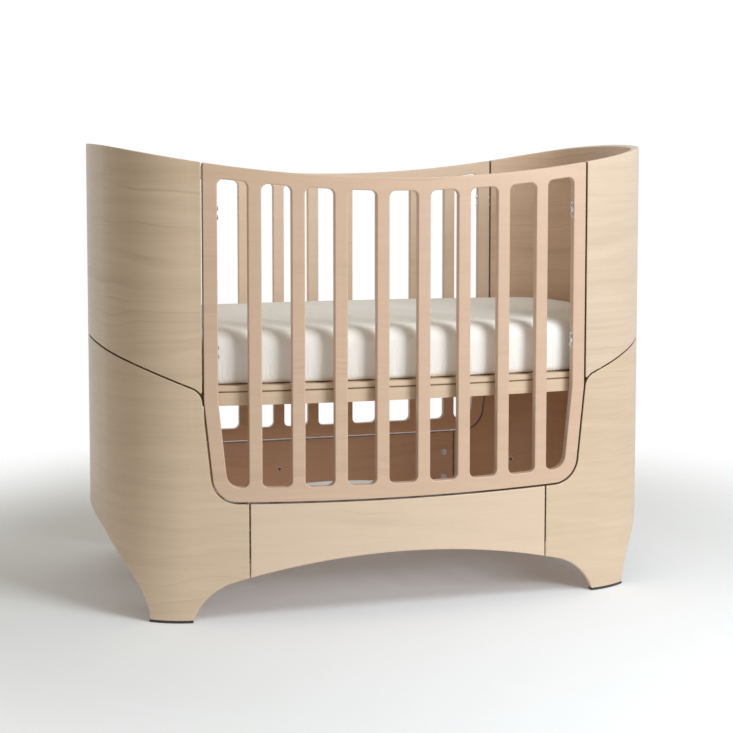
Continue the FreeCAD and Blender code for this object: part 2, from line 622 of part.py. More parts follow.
def plate_place(facing, hand, height, along="0"):
    """Return the placement at a stile's opening edge, local +Z towards the gable."""
    x = f"Layout.plate_x + ({along}) * cos(Layout.gap_turn)"
    y = f"Layout.plate_y + ({along}) * sin(Layout.gap_turn)"
    return placed(times(hand, x), times(facing, y), height,
                  sideways(facing, hand, "Layout.gap_turn"))


def stile_bolt_places(facing, hand, along="0"):
    """Return the placements of the four bolts of one stile."""
    return [plate_place(facing, hand, f"{height} + {step} * Sizes.plate_pitch / 2", along)
            for height in PLATE_HEIGHTS for step in (-1, 1)]


def cam_place(facing, hand, height):
    """Return the placement of a cam: on the inner skin, local +Z into the wood."""
    x, y = on_side(facing, hand, "Layout.cam_turn", "Sizes.wall")
    return placed(x, y, height, outwards(facing, hand, "Layout.cam_turn"))


def seam_place(facing, hand, height, along):
    """Return the placement at a skirt's end seam, moved along, local +Z towards the gable."""
    x, y = on_side(facing, hand, "Layout.seam_turn", "Sizes.wall / 2", along)
    return placed(x, y, height, sideways(facing, hand, "Layout.seam_turn"))


def side_insert_place(facing, hand, height, inset="Sizes.wall"):
    """Return the placement of a base bolt on a long side, local +Z out through the wall."""
    x, y = on_side(facing, hand, "Layout.bolt_turn", inset)
    return placed(x, y, height, outwards(facing, hand, "Layout.bolt_turn"))


def corner_insert_place(facing, hand, height, inset="Sizes.wall"):
    """Return the placement of a base bolt at a corner, local +Z out through the wall."""
    x, y = on_corner(facing, hand, "Sizes.base_bolt_turn", inset)
    return placed(x, y, height, outwards(facing, hand, "Sizes.base_bolt_turn"))


def seam_dowel_spot(hand, turn):
    """Return x, y and seam height of an upright dowel in the middle of the wall."""
    degrees = float(turn)
    facing = 1 if degrees <= 90 else -1
    degrees = min(degrees, 180 - degrees)
    if degrees == 90:
        x, y = "Layout.half_length - Sizes.wall / 2", "0"
    else:
        x, y = corner_spot("Sizes.wall / 2", f"sin({degrees})", f"cos({degrees})")
    height = f"Sizes.wave_height + Layout.wave_lift / 2 + ({x} - Layout.gap_x) * Layout.rise"
    return times(hand, x), times(facing, y), height


def foot_spots(facing, hand):
    """Return the two screw places of one leg: one by the side arch, one by the end arch."""
    turns = ("Layout.foot_first_turn", "Layout.foot_last_turn")
    return [on_corner(facing, hand, turn, "Sizes.wall / 2") for turn in turns]


# ---------------------------------------------------------------- drills and cutting

def shifted(place, x="0", y="0", z="0"):
    """Return a placement moved along its own axes."""
    return (f"{place} * create(<<placement>>; create(<<vector>>; {x}; {y}; {z});"
            " create(<<rotation>>; 0; 0; 0))")


def drill(name, radius, depth, place, lead="0"):
    """Return a round cutter that starts a lead before its place, bound to the sheet."""
    cutter = doc.addObject("Part::Cylinder", name)
    cutter.setExpression("Radius", radius)
    cutter.setExpression("Height", f"{depth} + {lead}")
    cutter.setExpression("Placement", shifted(place, z=f"-({lead})"))
    return cutter


def recess(name, facing, hand, height):
    """Return the cutter for a steel plate's seat in a stile's opening edge."""
    cutter = doc.addObject("Part::Box", name)
    play = "2 * Sizes.bolt_play"
    cutter.setExpression("Length", f"Sizes.plate_height + {play}")
    cutter.setExpression("Width", f"Sizes.plate_width + {play}")
    cutter.setExpression("Height", "Sizes.plate_thickness + 5")
    cutter.setExpression("Placement", shifted(
        plate_place(facing, hand, height), f"-(Sizes.plate_height + {play}) / 2",
        f"-(Sizes.plate_width + {play}) / 2", "-5"))
    return cutter


def finish(name, body, cutters):
    """Drill a body, and return the node's object."""
    if not cutters:
        body.Label = name
        return body
    tool = doc.addObject("Part::Compound", f"{name}_drills")
    tool.Links = cutters
    node = doc.addObject("Part::Cut", name)
    node.Base = body
    node.Tool = tool
    node.Refine = True
    return node


def insert_drills(name, places):
    """Return the blind stepped holes for base bolt sleeves."""
    cutters = []
    for index, place in enumerate(places):
        cutters.append(drill(f"{name}_sleeve_{index}", "Sizes.insert_radius",
                             "Sizes.insert_length", place))
        cutters.append(drill(f"{name}_rim_{index}", "Sizes.insert_flange_radius",
                             "Sizes.insert_flange", place, "5"))
    return cutters


# ---------------------------------------------------------------- turned hardware

def turned(name, profile):
    """Revolve a closed profile of (radius, height) corners about local Z."""
    body = new_body(name)
    sketch = sketch_on(body, "XZ_Plane", "profile")
    draw(sketch, profile)
    feature = body.newObject("PartDesign::Revolution", f"{name}_turn")
    feature.Profile = sketch
    feature.ReferenceAxis = (sketch, ["V_Axis"])
    feature.Angle = 360
    doc.recompute()
    return body


def hexagon(radius):
    """Return the corners of a hexagon socket."""
    return [(f"{radius} * cos({60 * step})", f"{radius} * sin({60 * step})") for step in range(6)]


def bolt(name, length):
    """Build a bolt: head below local zero with a hexagon socket, shank up to its length."""
    head, shank = "Sizes.bolt_head_radius", "Sizes.bolt_radius"
    top = "-Sizes.bolt_head_height"
    body = turned(name, [("0", top), (f"{head} - 1", top), (head, f"{top} + 1"), (head, "0"),
                         (shank, "0"), (shank, f"{length} - 0.5"), (f"{shank} - 0.5", length),
                         ("0", length)])
    socket = sketch_on(body, "XY_Plane", "socket")
    socket.setExpression("AttachmentOffset.Base.z", top)
    draw(socket, hexagon("Sizes.key_radius"))
    before = body.Tip.Shape.Volume
    feature = body.newObject("PartDesign::Pocket", f"{name}_socket_cut")
    feature.Profile = socket
    feature.Reversed = True
    feature.setExpression("Length", "Sizes.key_depth")
    doc.recompute()
    if feature.Shape.Volume > before - 1:
        raise RuntimeError(f"{name}: the socket cuts nothing")
    return body


def dowel(name):
    """Build a dowel with its middle at the local zero."""
    half, radius, corner = "Sizes.dowel_length / 2", "Sizes.dowel_radius", "Sizes.dowel_chamfer"
    return turned(name, [("0", f"-{half}"), (f"{radius} - {corner}", f"-{half}"),
                         (radius, f"-{half} + {corner}"), (radius, f"{half} - {corner}"),
                         (f"{radius} - {corner}", half), ("0", half)])


def sleeve(name, radius, length):
    """Build a threaded sleeve."""
    bore = "Sizes.bolt_radius + Sizes.bolt_play"
    return turned(name, [(bore, "0"), (radius, "0"), (radius, length), (bore, length)])


def rimmed_sleeve(name):
    """Build a threaded sleeve for a base bolt, its rim flush with the local zero."""
    bore, rim_radius = "Sizes.bolt_radius + Sizes.bolt_play", "Sizes.insert_flange_radius"
    rim_end, radius, length = "Sizes.insert_flange", "Sizes.insert_radius", "Sizes.insert_length"
    return turned(name, [(bore, "0"), (rim_radius, "0"), (rim_radius, rim_end), (radius, rim_end),
                         (radius, length), (bore, length)])


def wood_screw(name):
    """Build a countersunk wood screw: its head's top at the local zero, its point up local Z."""
    head, shank = "Sizes.screw_head_radius", "Sizes.screw_radius"
    return turned(name, [("0", "0.6"), ("1.2", "0.6"), ("1.6", "0"), (head, "0"),
                         (shank, "Sizes.screw_head_height"), (shank, "Sizes.screw_length - 4"),
                         ("0", "Sizes.screw_length")])


def cam(name):
    """Build a cam: a disc with a cross slot, pierced by the bolt's way."""
    body = new_body(name)
    plan = sketch_on(body, "XY_Plane", "disc")
    draw_circle(plan, "0", "0", "Sizes.cam_radius")
    pad(body, plan, "Sizes.cam_depth")
    way = sketch_on(body, "XZ_Plane", "way")
    draw_circle(way, "0", "Sizes.wall / 2", "Sizes.bolt_radius + Sizes.bolt_play")
    cut_through(body, way, "way")
    slot = sketch_on(body, "XY_Plane", "slot")
    arm, half = "Sizes.cam_radius * 0.6", "0.8"
    quarter = [(arm, half), (half, half), (half, arm)]
    cross = quarter + [(f"-{x}", y) for x, y in quarter[::-1]]
    cross += [(f"-{x}", f"-{y}") for x, y in quarter] + [(x, f"-{y}") for x, y in quarter[::-1]]
    draw(slot, cross)
    feature = body.newObject("PartDesign::Pocket", f"{name}_slot_cut")
    feature.Profile = slot
    feature.Reversed = True
    feature.Length = 1.5
    doc.recompute()
    return body


def stile_plate(name):
    """Build a steel plate with two bolt holes, its face at the local zero."""
    body = new_body(name)
    plan = sketch_on(body, "XY_Plane", "plan")
    half_long, half_wide = "Sizes.plate_height / 2", "Sizes.plate_width / 2"
    draw(plan, [(f"-{half_long}", f"-{half_wide}"), (half_long, f"-{half_wide}"),
                (half_long, half_wide), (f"-{half_long}", half_wide)])
    for step in (-1, 1):
        draw_circle(plan, f"{step} * Sizes.plate_pitch / 2", "0",
                    "Sizes.bolt_radius + Sizes.bolt_play")
    pad(body, plan, "Sizes.plate_thickness")
    return body


def group(name, master, places):
    """Return a node that holds one copy of the master at each place."""
    copies = []
    for index, place in enumerate(places):
        copy = doc.addObject("App::Link", f"{name}_{index}")
        copy.LinkedObject = master
        copy.setExpression("Placement", place)
        copies.append(copy)
    node = doc.addObject("Part::Compound", name)
    node.Links = copies
    return node


# ---------------------------------------------------------------- the lower frame

def build_lower_frame(insert_master, dowel_master):
    """Return the nodes that stand on the floor."""
    nodes = []
    for name, facing in (("front_skirt", 1), ("back_skirt", -1)):
        cutters = []
        for hand in (-1, 1):
            tag = f"{name}_{'left' if hand < 0 else 'right'}"
            for index, height in enumerate(CAM_HEIGHTS):
                cutters.append(drill(f"{tag}_cam_{index}", "Sizes.cam_radius + Sizes.bolt_play",
                                     "Sizes.cam_depth", cam_place(facing, hand, height), "5"))
                cutters.append(drill(f"{tag}_way_{index}", "Sizes.bolt_radius + Sizes.bolt_play",
                                     "Sizes.cam_edge + 5",
                                     seam_place(facing, hand, height, "-Sizes.cam_edge")))
            for index, height in enumerate(DOWEL_HEIGHTS):
                cutters.append(drill(f"{tag}_dowel_{index}", "Sizes.dowel_radius",
                                     "Sizes.dowel_length",
                                     seam_place(facing, hand, height, "-Sizes.dowel_length / 2")))
        cutters += insert_drills(name, [side_insert_place(facing, hand, BASE_BOLT_HEIGHTS["low"])
                                        for hand in (-1, 1)])
        nodes.append(finish(name, skirt(name, facing), cutters))
    for name, hand in (("left_lower_gable", -1), ("right_lower_gable", 1)):
        cutters = []
        for facing in (1, -1):
            tag = f"{name}_{'front' if facing > 0 else 'back'}"
            for index, height in enumerate(CAM_HEIGHTS):
                cutters.append(drill(f"{tag}_grip_{index}", "Sizes.bolt_radius + Sizes.bolt_play",
                                     "Sizes.cam_bolt_grip + 5", seam_place(facing, hand, height, "-5")))
            for index, height in enumerate(DOWEL_HEIGHTS):
                cutters.append(drill(f"{tag}_dowel_{index}", "Sizes.dowel_radius",
                                     "Sizes.dowel_length",
                                     seam_place(facing, hand, height, "-Sizes.dowel_length / 2")))
            cutters += insert_drills(tag, [corner_insert_place(facing, hand, height)
                                           for height in BASE_BOLT_HEIGHTS.values()])
            for index, (x, y) in enumerate(foot_spots(facing, hand)):
                cutters.append(drill(f"{tag}_foot_{index}", "Sizes.screw_radius",
                                     "Sizes.screw_length", placed(x, y, "1.5", "0", "0")))
        cutters += seam_dowel_drills(name, hand)
        nodes.append(finish(name, lower_gable(name, hand), cutters))
    for facing, hand in FOUR_CORNERS:
        nodes.append(glide(facing, hand))
    screw = wood_screw("screw_master")
    nodes.append(group("glide_screws", screw, [placed(x, y, "1.5", "0", "0")
                                               for facing, hand in FOUR_CORNERS
                                               for x, y in foot_spots(facing, hand)]))
    nodes.append(group("skirt_cams", cam("cam_master"), [cam_place(facing, hand, height)
                                                         for facing, hand in FOUR_CORNERS
                                                         for height in CAM_HEIGHTS]))
    grip = "Sizes.cam_edge + Sizes.cam_bolt_grip"
    shank = "Sizes.bolt_radius"
    cam_bolt = turned("cam_bolt_master", [("0", "0"), (f"{shank} - 0.6", "0"), (shank, "0.6"),
                                          (shank, "3"), (f"{shank} - 1", "4"),
                                          (f"{shank} - 1", "6"), (shank, "7"), (shank, grip),
                                          ("0", grip)])
    nodes.append(group("cam_bolts", cam_bolt, [seam_place(facing, hand, height, "-Sizes.cam_edge")
                                               for facing, hand in FOUR_CORNERS
                                               for height in CAM_HEIGHTS]))
    nodes.append(group("skirt_dowels", dowel_master,
                       [seam_place(facing, hand, height, "0")
                        for facing, hand in FOUR_CORNERS for height in DOWEL_HEIGHTS]))
    places = [side_insert_place(facing, hand, BASE_BOLT_HEIGHTS["low"])
              for facing, hand in FOUR_CORNERS]
    places += [corner_insert_place(facing, hand, height)
               for facing, hand in FOUR_CORNERS for height in BASE_BOLT_HEIGHTS.values()]
    nodes.append(group("frame_inserts", insert_master, places))
    return nodes


def seam_dowel_drills(name, hand):
    """Return the upright dowel holes across the sloping seam."""
    cutters = []
    for index, turn in enumerate(SEAM_DOWEL_TURNS):
        x, y, height = seam_dowel_spot(hand, turn)
        cutters.append(drill(f"{name}_peg_{index}", "Sizes.dowel_radius + Sizes.bolt_play",
                             "Sizes.dowel_length + 2",
                             placed(x, y, f"{height} - Sizes.dowel_length / 2 - 1", "0", "0")))
    return cutters


def glide(facing, hand):
    """Build the plastic glide under one leg, drilled for its two screws."""
    name = f"{'front' if facing > 0 else 'back'}_{'left' if hand < 0 else 'right'}_glide"
    body = new_body(f"{name}_strip")
    plan = sketch_on(body, "XY_Plane", "plan")
    start = "Layout.foot_start"
    inset, depth = "Sizes.glide_inset", "Sizes.wall - Sizes.glide_inset"
    stop_y = "-Layout.foot_stop"
    lines = []
    for edge in (inset, depth):
        radius = f"(Layout.corner_radius - ({edge}))"
        swing = f"sqrt({radius} ^ 2 - ({stop_y} - Layout.corner_y) ^ 2)"
        lines.append([start_on_corner(start, edge), (f"Layout.corner_x + {swing}", stop_y)])
    corners = [lines[0][0], lines[0][1], lines[1][1], lines[1][0]]
    side = hand * facing
    draw(plan, [(times(hand, x), times(facing, y)) for x, y in corners],
         {0: (f"Layout.corner_radius - ({inset})", side),
          2: (f"Layout.corner_radius - ({depth})", -side)})
    pad(body, plan, "Sizes.glide_height")
    cutters = []
    for index, (x, y) in enumerate(foot_spots(facing, hand)):
        cutters.append(drill(f"{name}_sink_{index}", "Sizes.screw_head_radius + Sizes.bolt_play",
                             "Sizes.screw_head_height + 1.5", placed(x, y, "0", "0", "0")))
        cutters.append(drill(f"{name}_hole_{index}", "Sizes.screw_radius", "Sizes.glide_height",
                             placed(x, y, "0", "0", "0")))
    return finish(name, body, cutters)


def start_on_corner(across, inset):
    """Return x, y on the front right corner arc at a place along the cot."""
    radius = f"(Layout.corner_radius - ({inset}))"
    return across, f"Layout.corner_y - sqrt({radius} ^ 2 - ({across} - Layout.corner_x) ^ 2)"


# ---------------------------------------------------------------- the crown

def build_crown(insert_master, dowel_master):
    """Return the nodes that lift off the lower frame."""
    nodes = []
    edge_sleeve = sleeve("edge_insert_master", "Sizes.edge_insert_radius", "Sizes.edge_insert_length")
    edge_start = "Layout.stile_run + Sizes.panel_gap + 0.6"
    for name, hand in (("left_upper_gable", -1), ("right_upper_gable", 1)):
        cutters = seam_dowel_drills(name, hand)
        for facing in (1, -1):
            tag = f"{name}_{'front' if facing > 0 else 'back'}"
            for index, place in enumerate(stile_bolt_places(facing, hand, "Layout.stile_run")):
                cutters.append(drill(f"{tag}_edge_{index}", "Sizes.edge_insert_radius",
                                     "Sizes.edge_insert_length + Sizes.panel_gap + 3", place))
        nodes.append(finish(name, upper_gable(name, hand), cutters))
        tag = "left" if hand < 0 else "right"
        nodes.append(group(f"{tag}_edge_inserts", edge_sleeve,
                           [place for facing in (1, -1)
                            for place in stile_bolt_places(facing, hand, edge_start)]))
        spots = [seam_dowel_spot(hand, turn) for turn in SEAM_DOWEL_TURNS]
        nodes.append(group(f"{tag}_seam_dowels", dowel_master,
                           [placed(x, y, height, "0", "0") for x, y, height in spots]))
    plate = stile_plate("plate_master")
    short = bolt("short_bolt_master", "Layout.stile_run - 0.4")
    long = bolt("long_bolt_master", "Layout.stile_run + Sizes.panel_gap + Sizes.edge_insert_length")
    for name, facing, fastener in (("front", 1, short), ("back", -1, long)):
        cutters = []
        for hand in (-1, 1):
            tag = f"{name}_{'left' if hand < 0 else 'right'}"
            for index, height in enumerate(PLATE_HEIGHTS):
                cutters.append(recess(f"{tag}_seat_{index}", facing, hand, height))
            for index, place in enumerate(stile_bolt_places(facing, hand, "-2")):
                cutters.append(drill(f"{tag}_shank_{index}", "Sizes.bolt_radius + Sizes.bolt_play",
                                     "Layout.stile_run + 5", place))
        cutters += insert_drills(f"{name}_panel", [
            side_insert_place(facing, hand, BASE_BOLT_HEIGHTS["high"]) for hand in (-1, 1)])
        nodes.append(finish(f"{name}_panel", slatted_panel(f"{name}_panel", facing), cutters))
        nodes.append(group(f"{name}_stile_plates", plate, [
            plate_place(facing, hand, height) for hand in (-1, 1) for height in PLATE_HEIGHTS]))
        nodes.append(group(f"{name}_stile_bolts", fastener, [
            place for hand in (-1, 1) for place in stile_bolt_places(facing, hand)]))
        nodes.append(group(f"{name}_panel_inserts", insert_master, [
            side_insert_place(facing, hand, BASE_BOLT_HEIGHTS["high"]) for hand in (-1, 1)]))
    return nodes


# ---------------------------------------------------------------- the bed base and mattress

def build_base():
    """Return the nodes of the height-adjustable bed base."""
    nodes = []
    board = new_body("base_board_sheet")
    plan = sketch_on(board, "XY_Plane", "plan")
    draw(plan, *oval("Layout.board_inset"))
    pad(board, plan, "Sizes.board_thickness", "Layout.board_bottom")
    slots = sketch_on(board, "XY_Plane", "slots")
    half = "Sizes.slot_length / 2 - Sizes.slot_radius"
    wide = "Sizes.slot_radius"
    for place in range(int(value("Sizes.slot_count"))):
        middle = f"Sizes.slot_spacing * ({place} - (Sizes.slot_count - 1) / 2)"
        draw(slots, [(f"{middle} - {wide}", f"-({half})"), (f"{middle} + {wide}", f"-({half})"),
                     (f"{middle} + {wide}", half), (f"{middle} - {wide}", half)],
             {0: (f"{wide} * 1.001", 1), 2: (f"{wide} * 1.001", 1)})
    cut_through(board, slots, "slots")
    rails = {}
    for name, facing in (("front_base_rail", 1), ("back_base_rail", -1)):
        body = new_body(f"{name}_strip")
        plan = sketch_on(body, "XY_Plane", "plan")
        draw(plan, *side_strip(facing, "Sizes.rail_half_length", "Layout.rail_inset",
                               "Layout.rail_inner"))
        pad(body, plan, "Sizes.rail_height", "Layout.rail_bottom")
        rails[name] = body
    for name, hand in (("left_base_hoop", -1), ("right_base_hoop", 1)):
        body = new_body(f"{name}_strip")
        plan = sketch_on(body, "XY_Plane", "plan")
        draw(plan, *gable_ring(hand, "Sizes.rail_half_length + Sizes.fit", "Layout.rail_inset",
                               "Layout.rail_inner"))
        pad(body, plan, "Sizes.rail_height", "Layout.rail_bottom")
        rails[name] = body
    for body in rails.values():
        bevel_top(body)
    for facing, name in ((1, "front_base_rail"), (-1, "back_base_rail")):
        cutters = bolt_drills(name, [side_insert_place(facing, hand, "Layout.bolt_height",
                                                       "Layout.rail_inner") for hand in (-1, 1)])
        cutters += screw_drills(name, side_screw_places(facing))
        nodes.append(finish(name, rails[name], cutters))
    for hand, name in ((-1, "left_base_hoop"), (1, "right_base_hoop")):
        cutters = bolt_drills(name, [corner_insert_place(facing, hand, "Layout.bolt_height",
                                                         "Layout.rail_inner")
                                     for facing in (1, -1)])
        cutters += screw_drills(name, hoop_screw_places(hand))
        nodes.append(finish(name, rails[name], cutters))
    places = [place for facing in (1, -1) for place in side_screw_places(facing)]
    places += [place for hand in (-1, 1) for place in hoop_screw_places(hand)]
    places += [place for step in (-1, 0, 1) for place in bearer_screw_places(step)]
    cutters = [sink(f"base_board_sink_{index}", place) for index, place in enumerate(places)]
    cutters += screw_drills("base_board", places)
    nodes.append(finish("base_board", board, cutters))
    nodes.append(group("base_screws", wood_screw("base_screw_master"), places))
    base_bolt = bolt("base_bolt_master", "Sizes.rail_thickness - Sizes.seat_depth"
                                         " + Sizes.rail_set_back + Sizes.base_clearance - 0.5")
    seat = "Layout.rail_inner - Sizes.seat_depth"
    places = [side_insert_place(facing, hand, "Layout.bolt_height", seat)
              for facing, hand in FOUR_CORNERS]
    places += [corner_insert_place(facing, hand, "Layout.bolt_height", seat)
               for facing, hand in FOUR_CORNERS]
    nodes.append(group("base_bolts", base_bolt, places))
    bearers = []
    for place in (-1, 0, 1):
        blank = doc.addObject("Part::Box", f"bearer_{place + 1}_blank")
        outer = f"(Sizes.bearer_spacing * {abs(place)} + Sizes.bearer_width / 2)"
        reach = f"({side_y('Layout.rail_inner', outer)} + Sizes.fit)"
        blank.setExpression("Length", "Sizes.bearer_width")
        blank.setExpression("Width", f"-2 * {reach}")
        blank.setExpression("Height", "Sizes.rail_height")
        blank.setExpression("Placement", placed(
            f"Sizes.bearer_spacing * {place} - Sizes.bearer_width / 2", reach,
            "Layout.rail_bottom", "0", "0"))
        bearers.append(finish(f"bearer_{place + 1}", blank, screw_drills(
            f"bearer_{place + 1}", bearer_screw_places(place))))
    node = doc.addObject("Part::Compound", "base_bearers")
    node.Links = bearers
    nodes.append(node)
    return nodes


def bolt_drills(name, places):
    """Return the holes and flat seats of base bolts, from a rail's inner face."""
    cutters = []
    for index, place in enumerate(places):
        cutters.append(drill(f"{name}_bolt_{index}", "Sizes.bolt_radius + Sizes.bolt_play",
                             "Sizes.rail_thickness + 5", place, "5"))
        cutters.append(drill(f"{name}_seat_{index}", "Sizes.bolt_head_radius + Sizes.bolt_play",
                             "Sizes.seat_depth", place, "5"))
    return cutters


def bevel_top(body):
    """Chamfer the outer top edge of a rail, which leaves a groove under the board."""
    tip = body.Tip
    top = value("Layout.board_bottom")
    names = []
    for number, edge in enumerate(tip.Shape.Edges, start=1):
        level = all(abs(vertex.Z - top) < 1e-3 for vertex in edge.Vertexes)
        walls = [face for face in tip.Shape.ancestorsOfType(edge, Part.Face)
                 if isinstance(face.Surface, Part.Cylinder)]
        if level and walls and outward_facing(walls[0]):
            names.append(f"Edge{number}")
    feature = body.newObject("PartDesign::Chamfer", f"{body.Name}_groove")
    feature.Base = (tip, names)
    feature.setExpression("Size", "Sizes.rail_chamfer")
    doc.recompute()


def outward_facing(face):
    """Return whether a curved wall face looks away from the middle of the cot."""
    first, last, low, high = face.ParameterRange
    middle = face.valueAt((first + last) / 2, (low + high) / 2)
    normal = face.normalAt((first + last) / 2, (low + high) / 2)
    return normal.x * middle.x + normal.y * middle.y > 0


def side_screw_places(facing):
    """Return the board screws along one long rail, points down."""
    places = []
    for place in (-2, -1, 1, 2):
        across = f"Sizes.rail_half_length * {0.42 * place}"
        y = side_y("Layout.rail_inset + Sizes.rail_thickness / 2", across)
        places.append(placed(across, times(facing, y), "Sizes.base_height", "0", "180"))
    return places


def hoop_screw_places(hand):
    """Return the board screws round one end hoop, points down."""
    places = []
    for facing in (1, -1):
        for turn in ("30", "68"):
            x, y = on_corner(facing, hand, turn, "Layout.rail_inset + Sizes.rail_thickness / 2")
            places.append(placed(x, y, "Sizes.base_height", "0", "180"))
    return places


def bearer_screw_places(step):
    """Return the board screws into one cross bearer, points down."""
    return [placed(f"Sizes.bearer_spacing * {step}", f"{side} * Sizes.slot_length / 2",
                   "Sizes.base_height", "0", "180") for side in (-1, 1)]


def screw_drills(name, places):
    """Return pilot holes for wood screws."""
    return [drill(f"{name}_pilot_{index}", "Sizes.screw_radius", "Sizes.screw_length", place)
            for index, place in enumerate(places)]


def sink(name, place):
    """Return a countersink for a wood screw's head."""
    cutter = doc.addObject("Part::Cone", name)
    cutter.setExpression("Radius1", "Sizes.screw_head_radius")
    cutter.setExpression("Radius2", "Sizes.screw_radius")
    cutter.setExpression("Height", "Sizes.screw_head_height")
    cutter.setExpression("Placement", place)
    return cutter


def build_mattress():
    """Return the mattress, a plain soft block."""
    body = new_body("mattress")
    plan = sketch_on(body, "XY_Plane", "plan")
    draw(plan, *oval("Layout.mattress_inset"))
    pad(body, plan, "Sizes.mattress_thickness", "Layout.mattress_bottom")

    def level_at(height):
        return lambda edge: all(abs(vertex.Z - height) < 1e-3 for vertex in edge.Vertexes)
    top = value("Layout.mattress_bottom + Sizes.mattress_thickness")
    round_edges(body, "top", level_at(top), "Sizes.mattress_top_round")
    round_edges(body, "bottom", level_at(value("Layout.mattress_bottom")),
                "Sizes.mattress_bottom_round")
    return [body]


# ---------------------------------------------------------------- build, check, write

def check(node):
    """Stop if a node's shape is missing or broken."""
    shape = node.Shape
    if shape.isNull() or not shape.isValid() or not shape.Solids:
        raise RuntimeError(f"{node.Label}: bad shape")


def main():
    """Build every node, check the document and write one STEP file per node."""
    fill_sheet()
    insert = rimmed_sleeve("insert_master")
    peg = dowel("dowel_master")
    nodes = build_lower_frame(insert, peg) + build_crown(insert, peg)
    nodes += build_base() + build_mattress()
    doc.recompute()
    for item in doc.Objects:
        if "Invalid" in item.State or "Error" in item.State:
            raise RuntimeError(f"{item.Label}: {item.State}")
    os.makedirs("parts", exist_ok=True)
    for node in nodes:
        check(node)
        node.Shape.exportStep(f"parts/{node.Label}.step")
        box = node.Shape.BoundBox
        print(f"{node.Label}: {len(node.Shape.Solids)} solids,"
              f" {box.XLength:.0f} x {box.YLength:.0f} x {box.ZLength:.0f}")


main()
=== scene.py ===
import functools
import logging
import math
import operator
from collections.abc import Iterable
from dataclasses import dataclass, field
from enum import Enum
from typing import Union

import bmesh
import bpy
from mathutils import Euler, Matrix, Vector, noise


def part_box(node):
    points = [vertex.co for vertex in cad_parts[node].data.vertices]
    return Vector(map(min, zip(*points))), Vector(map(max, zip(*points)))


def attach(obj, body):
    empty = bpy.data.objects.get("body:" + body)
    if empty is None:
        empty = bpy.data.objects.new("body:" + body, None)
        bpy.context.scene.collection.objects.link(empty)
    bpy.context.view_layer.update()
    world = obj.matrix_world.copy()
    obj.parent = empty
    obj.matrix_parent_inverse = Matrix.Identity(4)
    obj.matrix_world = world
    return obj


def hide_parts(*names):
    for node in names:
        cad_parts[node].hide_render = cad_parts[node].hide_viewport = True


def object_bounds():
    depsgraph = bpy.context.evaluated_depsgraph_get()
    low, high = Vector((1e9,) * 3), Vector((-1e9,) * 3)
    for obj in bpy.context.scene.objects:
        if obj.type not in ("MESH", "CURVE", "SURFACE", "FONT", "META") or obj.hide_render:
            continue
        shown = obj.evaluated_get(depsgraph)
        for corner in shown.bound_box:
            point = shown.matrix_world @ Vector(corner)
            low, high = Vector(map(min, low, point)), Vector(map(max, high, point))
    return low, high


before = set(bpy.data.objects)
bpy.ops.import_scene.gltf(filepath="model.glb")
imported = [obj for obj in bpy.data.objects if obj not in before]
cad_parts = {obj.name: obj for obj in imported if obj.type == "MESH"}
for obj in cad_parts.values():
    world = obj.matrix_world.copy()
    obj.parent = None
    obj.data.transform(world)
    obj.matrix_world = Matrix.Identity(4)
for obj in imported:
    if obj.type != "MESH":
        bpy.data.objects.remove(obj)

LOG = logging.getLogger("crib")
CAD_BOX = [list(corner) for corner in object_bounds()]
MM = 0.001

Number = Union[int, float]
Colour = tuple[float, float, float]
Span = tuple[float, float]


# ---------------------------------------------------------------- the shape of the oval

@dataclass(frozen=True)
class Oval:
    """The crib's outline in plan: side, corner and end arcs that run into each other."""

    half_length: float = round(CAD_BOX[1][0], 3)
    half_width: float = round(CAD_BOX[1][1], 3)
    side_radius: float = 3.436
    side_turn: float = math.radians(7.4)
    corner_turn: float = math.radians(76.92)

    def radii(self) -> tuple[float, float]:
        """Work out the corner's and the end's radius.

        Returns:
            The corner radius and the end radius, in metres.
        """
        side_sin, side_cos = math.sin(self.side_turn), math.cos(self.side_turn)
        turn_sin, turn_cos = math.sin(self.corner_turn), math.cos(self.corner_turn)
        reach_x = self.half_length - self.side_radius * side_sin
        reach_y = self.half_width - self.side_radius * (1 - side_cos)
        split = (turn_sin - side_sin) * turn_cos - (1 - turn_sin) * (side_cos - turn_cos)
        corner = (reach_x * turn_cos - reach_y * (1 - turn_sin)) / split
        end = ((turn_sin - side_sin) * reach_y - (side_cos - turn_cos) * reach_x) / split
        return corner, end

    def side_centre(self) -> float:
        """Return how far beyond the middle a long side's arc is centred."""
        return self.side_radius - self.half_width

    def corner_centre(self) -> tuple[float, float]:
        """Return the centre of a corner's arc, in the first quadrant."""
        reach = self.side_radius - self.radii()[0]
        return (reach * math.sin(self.side_turn),
                reach * math.cos(self.side_turn) - self.side_centre())

    def end_centre(self) -> float:
        """Return where along the crib the end's arc is centred."""
        return self.half_length - self.radii()[1]


OVAL = Oval()


# ---------------------------------------------------------------- shader tools

